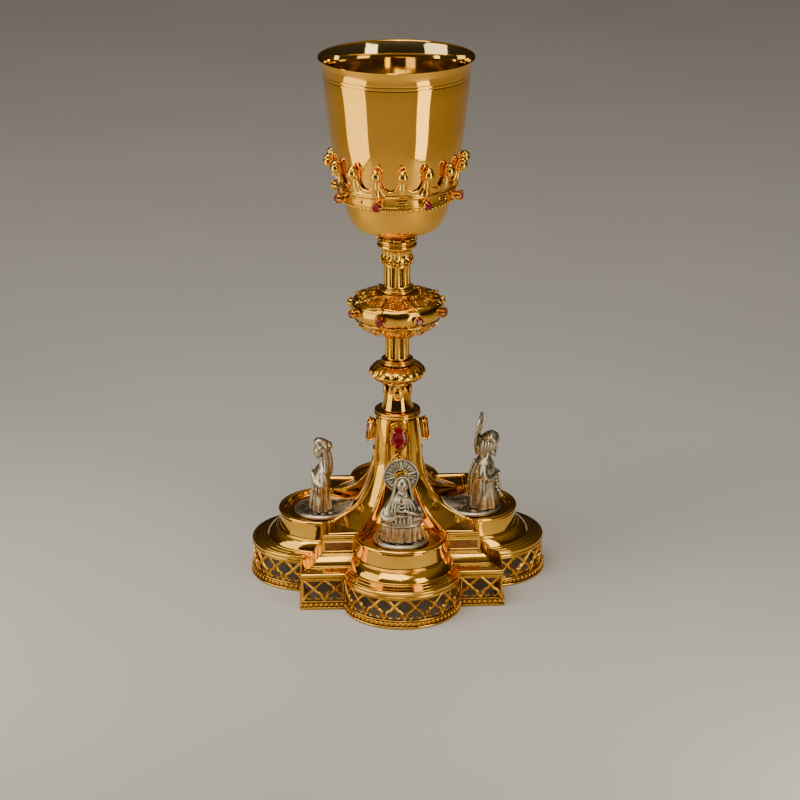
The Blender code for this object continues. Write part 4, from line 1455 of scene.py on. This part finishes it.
def hand(palm, towards, size=1.0):
    """A closed hand: a palm, four fingers and a thumb."""
    palm, towards = np.array(palm, float), np.array(towards, float)
    towards /= np.linalg.norm(towards)
    across = np.cross(towards, (0, 0, 1))
    across /= max(np.linalg.norm(across), 1e-6)
    parts = [ball(palm, 1.15 * size, stretch=(1.0, 1.0, 0.8))]
    for k in range(4):
        start = palm + across * (k - 1.5) * 0.55 * size + towards * 0.7 * size
        parts.append(limb([start, start + towards * 1.0 * size, start + towards * 1.7 * size - (0, 0, 0.5)],
                          [0.36 * size, 0.34 * size, 0.24 * size]))
    thumb = palm + (0, 0, 0.7 * size)
    parts.append(limb([thumb, thumb + towards * 1.2 * size + (0, 0, 0.2)], [0.4 * size, 0.28 * size]))
    return parts


def robed_half_length():
    """A robed figure seen to the hips, with long hair and both forearms in front, holding a small bowl."""
    sections = [
        (38.5, 7.5, 11.6, 47.6), (43.0, 7.0, 11.0, 47.5), (48.6, 6.8, 11.2, 47.5), (49.6, 7.2, 12.0, 47.5),
        (53.0, 7.0, 12.2, 47.5), (56.0, 6.7, 11.4, 47.3), (59.0, 6.1, 9.9, 47.1), (62.0, 5.4, 8.0, 46.8),
        (64.6, 4.2, 6.2, 46.5), (66.8, 3.0, 4.4, 46.4), (69.0, 2.4, 3.0, 46.5),
    ]
    parts = [robe(sections, 15, 0.55, 48.6)]
    hem = [
        (47.5 + 7.1 * math.cos(a), 11.9 * math.sin(a), 49.2 - 0.5 * math.cos(a))
        for a in np.linspace(-1.9, 1.9, 40)
    ]
    parts.append(tube(hem, 0.6, away=(0, 0, 1)))
    parts.append(limb([(47.4, -8.6, 58.5), (48.4, -10.4, 55.6), (49.2, -10.6, 53.4)], [1.4, 1.9, 2.0]))
    parts.append(limb([(49.2, -10.6, 53.4), (52.6, -8.2, 52.9), (54.9, -3.8, 54.2)], [2.0, 1.7, 1.1]))
    parts.append(limb([(47.4, 8.6, 59.0), (48.4, 10.6, 56.4), (49.4, 10.8, 55.0)], [1.4, 1.9, 2.0]))
    parts.append(limb([(49.4, 10.8, 55.0), (52.8, 8.0, 56.2), (55.4, 3.0, 58.6)], [2.0, 1.7, 1.1]))
    for side, low in ((-1, 49.6), (1, 50.6)):
        for k in range(4):
            t = k / 3
            start = (49.6 + 3.4 * t, side * (10.9 - 3.8 * t), 53.4 + 0.8 * t)
            parts.append(limb(
                [
                    start, (start[0] + 0.7, start[1] + side * 0.1, (start[2] + low) / 2),
                    (start[0] + 0.2, start[1] - side * 0.4, low),
                ],
                [1.0, 0.85, 0.45],
            ))
    parts += hand((54.6, -3.6, 55.2), (0.35, 0.9, 0.1))
    parts += hand((55.5, 2.6, 58.9), (0.2, -0.9, 0.25))
    bowl = turned([(0.4, 0), (2.1, 0.2), (3.6, 1.3), (4.1, 2.4), (3.7, 2.5), (2.6, 1.3), (0.4, 0.9)], 40)
    parts.append(placed(bowl, Matrix.Translation((54.2, 0.2, 54.6))))
    for lean in (-8.2, -6.2, -4.2, -2.2, 2.0, 4.1, 6.3, 8.3):
        line = [
            on_robe(sections, height, lean * reach)
            for height, reach in ((65.0, 0.42), (61.5, 0.75), (57.5, 0.95))
        ]
        parts.append(fold(line, 0.8))
    for lean in (-5.6, -3.4, -1.2, 1.4, 3.6):
        parts.append(fold([on_robe(sections, height, lean) for height in (54.6, 52.4, 50.3)], 0.65))
    for sag in (0.0, 1.5, 3.0):
        arc = [
            on_robe(sections, 64.0 - 1.4 * sag - 2.0 * math.cos(a), 4.4 * math.sin(a))
            for a in np.linspace(-1.3, 1.3, 9)
        ]
        parts.append(fold(arc, 0.7))
    place = (47.6, 0.6, 72.0)
    parts.append(head(place, 3.6, 4.1, 5.1, bow=rad(6)))
    parts += locks((47.0, 0.6, 72.2), 4.3, 4.1, 5.3, 9.4, 0.55, count=9, size=0.72)
    parts += beard(place, 2.8, 4.8, 1.8)
    return parts


def veiled_standing():
    """A standing figure in a straight robe and a wound headcloth that swells at the back, hands joined."""
    sections = [
        (38.5, 6.6, 8.6, 45.6), (44.0, 6.0, 8.0, 45.5), (50.0, 5.5, 7.6, 45.4), (56.0, 5.7, 8.2, 45.5),
        (61.0, 5.2, 7.9, 45.1), (64.6, 3.9, 5.6, 44.4), (67.0, 2.7, 3.2, 43.9), (71.5, 2.4, 2.6, 44.2),
    ]
    parts = [robe(sections, 9, 0.38, 52.0, phase=0.8)]
    parts += [fold([(51.6 + 0.8 * t, y, 39.0), (50.6 + 0.4 * t, y * 0.9, 46.0), (50.0, y * 0.7, 53.0)], 1.0)
              for t, y in ((1, -3.4), (0.6, -1.2), (1, 1.2), (0.5, 3.6))]
    for side in (-1, 1):
        parts.append(limb(
            [(44.6, side * 6.0, 62.6), (43.6, side * 8.4, 58.6), (44.8, side * 8.8, 55.4)], [2.3, 2.6, 2.4]
        ))
        parts.append(limb(
            [(44.8, side * 8.6, 55.6), (48.4, side * 6.0, 57.6), (50.8, side * 1.6, 61.4)], [2.3, 2.0, 1.2]
        ))
        for k in range(3):
            t = k / 2
            start = (45.8 + 3.6 * t, side * (8.2 - 3.2 * t), 56.0 + 1.4 * t)
            parts.append(limb(
                [
                    start, (start[0] + 0.5, start[1], 52.5),
                    (start[0] + 0.8, start[1] - side * 0.6, 48.6 + t),
                ],
                [1.4, 1.2, 0.5],
            ))
        parts.append(limb([(50.6, side * 0.6, 61.4), (51.2, side * 0.45, 64.4)], [0.95, 0.5], flat=0.8))
    place = (46.0, 0, 74.4)
    parts.append(head(place, 3.0, 3.6, 4.5, bow=rad(4)))
    cloth = [(44.6, 0, 78.6), (46.8, 0, 81.4), (47.4, 0, 82.6)]
    parts.append(limb(cloth, [4.3, 2.9, 1.7]))
    parts.append(ball((44.0, 0, 77.2), 1.0, stretch=(4.2, 3.9, 4.0), sides=28, rings=16))
    parts.append(ball((40.9, 0, 78.2), 1.0, stretch=(2.7, 3.0, 2.5), sides=20, rings=12))
    for k in range(5):
        lean = rad(-38 + 21 * k)
        ring = [(44.6 + 4.0 * math.cos(a) * math.cos(lean) - 0.4 * k, 4.15 * math.sin(a),
                 78.3 + 4.0 * math.cos(a) * math.sin(lean)) for a in np.linspace(0, TURN, 28)]
        parts.append(tube(ring, 0.45, away=(0, 0, 1)))
    for side in (-1, 1):
        parts.append(limb(
            [
                (43.4, side * 3.2, 77.0), (42.6, side * 3.4, 72.5), (42.2, side * 4.0, 67.5),
                (42.8, side * 6.0, 62.5),
            ],
            [1.3, 1.5, 1.6, 1.2],
        ))
        parts.append(fold(
            [(47.2, side * 3.4, 64.6), (49.4, side * 2.6, 61.0), (49.8, side * 3.2, 57.0)], 0.6
        ))
    parts.append(limb(
        [(42.2, 0, 76.5), (40.9, 0, 71.5), (40.6, 0, 66.0), (40.2, 0, 60.0)], [2.2, 2.3, 2.6, 1.6]
    ))
    return parts


def bearded_standing():
    """A standing figure in a heavy mantle, its thick hair combed forward, holding a bunch of grapes."""
    sections = [
        (38.5, 9.0, 9.8, 51.0), (44.0, 8.2, 9.2, 50.8), (52.0, 7.6, 9.0, 50.6), (58.0, 7.4, 9.4, 50.8),
        (63.5, 6.6, 8.8, 50.9), (67.6, 4.8, 6.2, 51.2), (70.4, 3.3, 3.7, 52.0), (74.0, 3.0, 3.2, 52.8),
    ]
    parts = [robe(sections, 7, 0.60, 58.0, phase=2.1)]
    for side in (-1, 1):
        parts.append(limb(
            [(50.4, side * 6.6, 66.0), (50.0, side * 9.2, 61.6), (51.6, side * 9.6, 58.4)], [2.5, 2.8, 2.4]
        ))
        parts.append(limb(
            [(51.6, side * 9.4, 58.4), (55.0, side * 6.6, 58.6), (58.6, side * 1.8, 59.6)], [2.4, 2.0, 1.3]
        ))
        for k in range(4):
            t = k / 3
            start = (48.2 + 6.2 * t, side * (9.6 - 3.6 * t), 59.0 - 0.6 * t)
            parts.append(limb(
                [
                    start, (start[0], start[1] + side * 0.2, 52.0),
                    (start[0] + 0.6, start[1] - side * 0.3, 43.0 + 4 * t),
                ],
                [1.5, 1.2, 0.6],
            ))
        parts += hand((58.6, side * 1.6, 59.7), (0.6, -side * 0.6, 0.0), size=1.05)
        parts.append(fold(
            [(53.8, side * 4.6, 68.0), (56.4, side * 3.6, 64.6), (57.2, side * 1.0, 61.6)], 0.85
        ))
        parts.append(fold(
            [(46.0, side * 4.0, 66.5), (43.6, side * 4.4, 58.0), (42.8, side * 4.6, 46.0)], 0.9
        ))
    parts.append(fold([(45.4, 0, 67.0), (42.8, 0, 58.0), (41.9, 0, 44.0)], 1.0))
    rows = ((58.4, 5), (56.8, 6), (55.2, 5), (53.6, 5), (52.0, 4), (50.4, 3), (48.8, 2), (47.2, 1))
    for k, (height, count) in enumerate(rows):
        spread = 2.6 * math.sin(math.pi * (0.25 + 0.7 * (1 - k / 8)) * 0.75)
        for j in range(count):
            a = TURN * (j + 0.5 * (k % 2)) / count
            parts.append(ball(
                (
                    57.9 + 0.40 * k + spread * 0.7 * math.cos(a), spread * math.sin(a),
                    height - 1.6 - 0.5 * k,
                ),
                1.02, sides=12, rings=8,
            ))
    place = (54.2, 0, 76.6)
    parts.append(head(place, 3.7, 4.4, 5.2, bow=rad(16)))
    parts.append(ball((53.2, 0, 79.2), 1.0, stretch=(5.0, 5.0, 4.6), sides=28, rings=16))
    for k in range(13):
        aside = k / 6 - 1
        line = [
            (50.6, aside * 4.2, 82.2 - 2.0 * aside**2), (54.4, aside * 4.8, 84.4 - 2.2 * aside**2),
            (58.2 - 1.6 * aside**2, aside * 5.0, 83.2 - 2.4 * aside**2),
            (59.9 - 2.2 * aside**2, aside * 4.9, 79.8 - 1.6 * aside**2),
        ]
        parts.append(limb(line, [0.9, 1.2, 1.25, 0.7]))
    for side in (-1, 1):
        for k in range(5):
            out = 49.4 + 1.7 * k
            low = 71.0 + 0.95 * k
            parts.append(limb(
                [
                    (out + 0.4, side * 4.4, 81.0), (out, side * 5.0, 78.0),
                    (out - 0.2, side * 4.9, (78.0 + low) / 2), (out - 0.6, side * 4.3, low),
                ],
                [0.9, 1.1, 1.0, 0.5],
            ))
    for k in range(4):
        ripple = [
            (
                54.0 + (5.2 - 0.5 * k) * math.cos(a) + 0.5 * math.cos(3 * a),
                (5.2 - 0.55 * k) * math.sin(a), 79.2 + 1.35 * k + 0.8 * math.cos(a),
            )
            for a in np.linspace(0, TURN, 30)
        ]
        parts.append(tube(ripple, 0.55, away=(0, 0, 1)))
    parts += beard((54.6, 0, 76.4), 3.4, 5.2, 3.2)
    parts += beard((53.6, 0, 76.8), 3.8, 5.2, 2.4)
    parts.append(limb([(49.2, 0, 81.5), (47.9, 0, 76.5), (48.2, 0, 71.0)], [2.0, 2.8, 2.2]))
    return parts


def halo_pieces():
    """A dished halo facing +Z: its dark ground, then its bright rim, short rays and three flared arms."""
    radius = 10.2
    ground = turned(
        rounded(
            [
                (0.3, 0), (radius - 0.3, 0), (radius, 0.3), (radius, 0.9), (radius - 1.15, 0.6),
                (4.6, 0.42), (0.3, 0.5),
            ],
            0.12,
        ),
        96,
    )
    rim = [(radius - 1.05, 0.5), (radius - 0.95, 1.1), (radius - 0.5, 1.3), (radius, 1.0), (radius, 0.4)]
    parts = [
        turned(smooth_line(rim, 4), 96),
        turned(rounded([(3.7, 0.3), (4.4, 0.3), (4.4, 0.9), (3.7, 0.9)], 0.15), 64),
    ]
    arm_angles = (math.pi, QUARTER, -QUARTER)
    for k in range(44):
        a = TURN * k / 44
        if min(abs((a - b + math.pi) % TURN - math.pi) for b in arm_angles) < rad(19):
            continue
        inner, outer = (5.6, 8.6) if k % 2 else (7.2, 8.3)
        line = [
            (inner * math.cos(a), inner * math.sin(a), 0.65),
            (outer * math.cos(a), outer * math.sin(a), 0.72),
        ]
        parts.append(tube(line, [0.16, 0.36], sides=8, flat=0.9))
    for a in arm_angles:
        sides = [
            [(r, side * half, 0.75) for r, half in ((4.2, 1.0), (6.0, 1.4), (7.8, 2.15), (9.0, 2.9))]
            for side in (-1, 1)
        ]
        edges = [tube(smooth_line(side, 4), 0.30, sides=8) for side in sides]
        spine = tube([(4.4, 0, 0.6), (6.5, 0, 0.8), (8.8, 0, 0.75)], [0.35, 0.55, 0.75], flat=0.6)
        parts.append(placed(gathered(edges + [spine]), turn_by(a)))
    return ground, gathered(parts)


def plate_floor(radius):
    """The height of the panel under a figure's plate."""
    line = np.array(PANEL)
    return np.interp(radius, line[:, 0], line[:, 1])


def figure_plate():
    """A drop-shaped plate with a double rim round a floor of winding relief, climbing to the cone."""
    start = rad(116)
    arc = np.linspace(-start, start, 90)
    circle = np.stack(
        [PLATE["centre"] + PLATE["radius"] * np.cos(arc), PLATE["radius"] * np.sin(arc)], axis=1
    )
    shoulder = circle[-1]
    tongue = smooth_line([shoulder, (33.2, 10.9), (29.4, 6.6), (26.6, 3.2), (PLATE["tip"], 0)], 9)[1:]
    outline = np.vstack([circle, tongue, (tongue * (1, -1))[::-1][1:-1]])
    centre = np.array((43.5, 0.0))
    steps = np.concatenate([np.linspace(0.02, 0.80, 44), np.linspace(0.82, 1.0, 22)])
    around = np.arctan2(outline[:, 1], outline[:, 0] - centre[0])
    rows = []
    for share in steps:
        x, y = (centre + (outline - centre) * share).T
        far = np.hypot(x - centre[0], y)
        winding = np.sin(5 * around + 0.55 * far) * np.cos(3 * around - 0.9 * far)
        winding = winding + 0.6 * np.sin(9 * around - 1.4 * far)
        lift = 0.42 * winding * smoothstep(0.84, 0.76, share) * smoothstep(0.05, 0.3, share)
        lift = lift + 0.3 * smoothstep(0.80, 0.86, share)
        rows.append(np.stack([x, y, plate_floor(x) + 1.15 + lift], axis=1))
    x, y = outline.T
    rows.append(np.stack([x, y, plate_floor(x) + 0.5], axis=1))
    x, y = (centre + (outline - centre) * 0.02).T
    rows.append(np.stack([x, y, plate_floor(x) + 0.4], axis=1))
    rims = []
    for share, size in ((0.955, 0.55), (0.86, 0.34)):
        x, y = (centre + (outline - centre) * share).T
        rims.append(tube(np.stack([x, y, plate_floor(x) + 1.5], axis=1), size, closed=True, away=(0, 0, 1)))
    return skin(rows, tied=True), gathered(rims)


def add_figures():
    """A silver figure on each lobe, facing out, on its plate, three of them with a halo."""
    plate, rims = figure_plate()
    ground, relief = halo_pieces()
    boss = turned(rounded([(0.3, 0.6), (3.4, 0.6), (3.5, 1.0), (2.6, 1.25), (0.3, 1.3)], 0.15), 48)
    makers = {
        "right": bearded_standing, "back": robed_half_length, "left": veiled_standing,
        "front": robed_half_length,
    }
    halos = {
        "right": (47.4, 86.9, rad(-8), rad(14)), "back": (41.3, 75.4, 0.0, 0.0),
        "front": (41.3, 75.4, 0.0, 0.0),
    }
    made = {}
    for k, side in enumerate(SIDES):
        where = turn_by(QUARTER * k)
        maker = makers[side]
        if maker not in made:
            made[maker] = cast(maker())
        show(f"{side}_statuette", placed(made[maker], where), SILVER, (f"figure_{side}",), sharp=80)
        show(f"{side}_plate", placed(plate, where), DARK_SILVER, (f"figure_plate_{side}",), sharp=60)
        show(f"{side}_plate_rims", placed(rims, where), SILVER)
        if side in halos:
            out, height, lean, swing = halos[side]
            upright = where @ facing_out(0, out, height, lean) @ Matrix.Rotation(swing, 4, "X")
            show(f"{side}_halo", placed(ground, upright), DARK_SILVER, (f"halo_{side}",))
            show(f"{side}_halo_relief", placed(relief, upright), SILVER)
            show(f"{side}_halo_boss", placed(boss, upright), CHASED)


# ---------------------------------------------------------------- hidden pieces


def finish_hidden_pieces():
    """The tie rod and its fastenings inside the foot, and the boss under the cup, keep their CAD shapes."""
    for node, look in (
        ("tie_rod", STEEL), ("tie_washer", STEEL), ("tie_nut", STEEL), ("cup_boss", POLISHED)
    ):
        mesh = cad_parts[node].data
        mesh.materials.clear()
        mesh.materials.append(look)


# ---------------------------------------------------------------- studio

CAMERA_DISTANCE = 1.2924
CAMERA_HEIGHT = 0.5989
CAMERA_PITCH = rad(20.88)
CAMERA_ROLL = rad(0.162)
FOOT_TURN = rad(2.535)
LENS = 106.4
SHIFT = 0.0032


def add_camera():
    """Stands in front of the foot, which is turned a little to one side, and looks down at it."""
    camera = bpy.data.cameras.new("camera")
    camera.lens = LENS
    camera.sensor_width = 36.0
    camera.shift_x = SHIFT
    camera.clip_end = 60
    holder = linked("camera", camera)
    place = Vector((
        -CAMERA_DISTANCE * math.sin(FOOT_TURN), -CAMERA_DISTANCE * math.cos(FOOT_TURN), CAMERA_HEIGHT
    ))
    aim = Matrix.Rotation(-FOOT_TURN, 4, "Z") @ Matrix.Rotation(QUARTER - CAMERA_PITCH, 4, "X")
    holder.matrix_world = Matrix.Translation(place) @ aim @ Matrix.Rotation(-CAMERA_ROLL, 4, "Z")
    bpy.context.scene.camera = holder


def add_floor():
    half, drop = 12.0, 0.0002
    mesh = bpy.data.meshes.new("floor")
    mesh.from_pydata(
        [(-half, -half, -drop), (half, -half, -drop), (half, half, -drop), (-half, half, -drop)], [],
        [(0, 1, 2, 3)],
    )
    look = Look("pale_floor")
    look.set(Specular_IOR_Level=0.3)
    clouds = look.noise(0.004, detail=3.0)
    look.join(look.blend(clouds, (0.60, 0.585, 0.56), (0.66, 0.645, 0.62)), "Base Color")
    look.join(look.ramp(clouds, 0.3, 0.7, 0.5, 0.62), "Roughness")
    mesh.materials.append(look.material)
    floor = linked("floor", mesh)


def add_softbox(name, azimuth, height, distance, size, power, aim=0.17, colour=(0.97, 0.94, 0.71)):
    """A rectangular soft light. azimuth 0 is in front of the foot, and it grows to the right."""
    light = bpy.data.lights.new(name, "AREA")
    light.shape = "RECTANGLE"
    light.size, light.size_y = size
    light.energy = power
    light.color = colour
    holder = linked(name, light)
    away = Vector((math.sin(azimuth) * distance, -math.cos(azimuth) * distance, height))
    holder.location = away
    holder.rotation_euler = (Vector((0, 0, aim)) - away).to_track_quat("-Z", "Y").to_euler()


def add_lights():
    """Two tall panels that stand on the floor at the sides, and a broad soft light overhead."""
    add_softbox("panel_left", rad(-72), 0.28, 0.40, (0.31, 0.55), 1.15, aim=0.27)
    add_softbox("panel_right", rad(40), 0.28, 0.41, (0.15, 0.55), 0.88, aim=0.27)
    add_softbox("overhead", rad(-35), 1.7, 0.55, (1.3, 1.1), 17, colour=(1.0, 0.95, 0.88))


def add_world():
    """A dim warm room that brightens overhead. Seen directly it is a plain pale wall."""
    world = bpy.data.worlds.new("studio")
    world.use_nodes = True
    nodes, links = world.node_tree.nodes, world.node_tree.links
    background = nodes["Background"]
    place = nodes.new("ShaderNodeTexCoord")
    split = nodes.new("ShaderNodeSeparateXYZ")
    links.new(place.outputs["Generated"], split.inputs[0])
    ramp = nodes.new("ShaderNodeValToRGB")
    low, high = ramp.color_ramp.elements
    low.position, high.position = 0.0, 1.0
    low.color, high.color = (0.020, 0.016, 0.012, 1), (0.30, 0.26, 0.21, 1)
    ramp.color_ramp.elements.new(0.45).color = (0.045, 0.036, 0.028, 1)
    links.new(split.outputs["Z"], ramp.inputs[0])
    rays = nodes.new("ShaderNodeLightPath")
    mix = nodes.new("ShaderNodeMix")
    mix.data_type = "RGBA"
    links.new(rays.outputs["Is Camera Ray"], mix.inputs[0])
    links.new(ramp.outputs[0], mix.inputs[6])
    mix.inputs[7].default_value = (0.26, 0.25, 0.24, 1)
    links.new(mix.outputs[2], background.inputs["Color"])
    bpy.context.scene.world = world


# ---------------------------------------------------------------- everything


def main():
    add_camera()
    add_floor()
    add_lights()
    add_world()
    add_cup()
    add_crown()
    add_crown_beads()
    add_calyx()
    add_capital()
    add_turned_rings()
    add_shafts()
    add_knop_top()
    add_knop_belt()
    add_knop_under()
    add_leaf_collar()
    add_neck_pendants()
    add_stem_gems()
    add_foot_gems()
    add_cornice()
    add_base()
    add_gallery()
    add_hood()
    add_panel_tracery()
    add_plaques()
    add_figures()
    finish_hidden_pieces()


main()
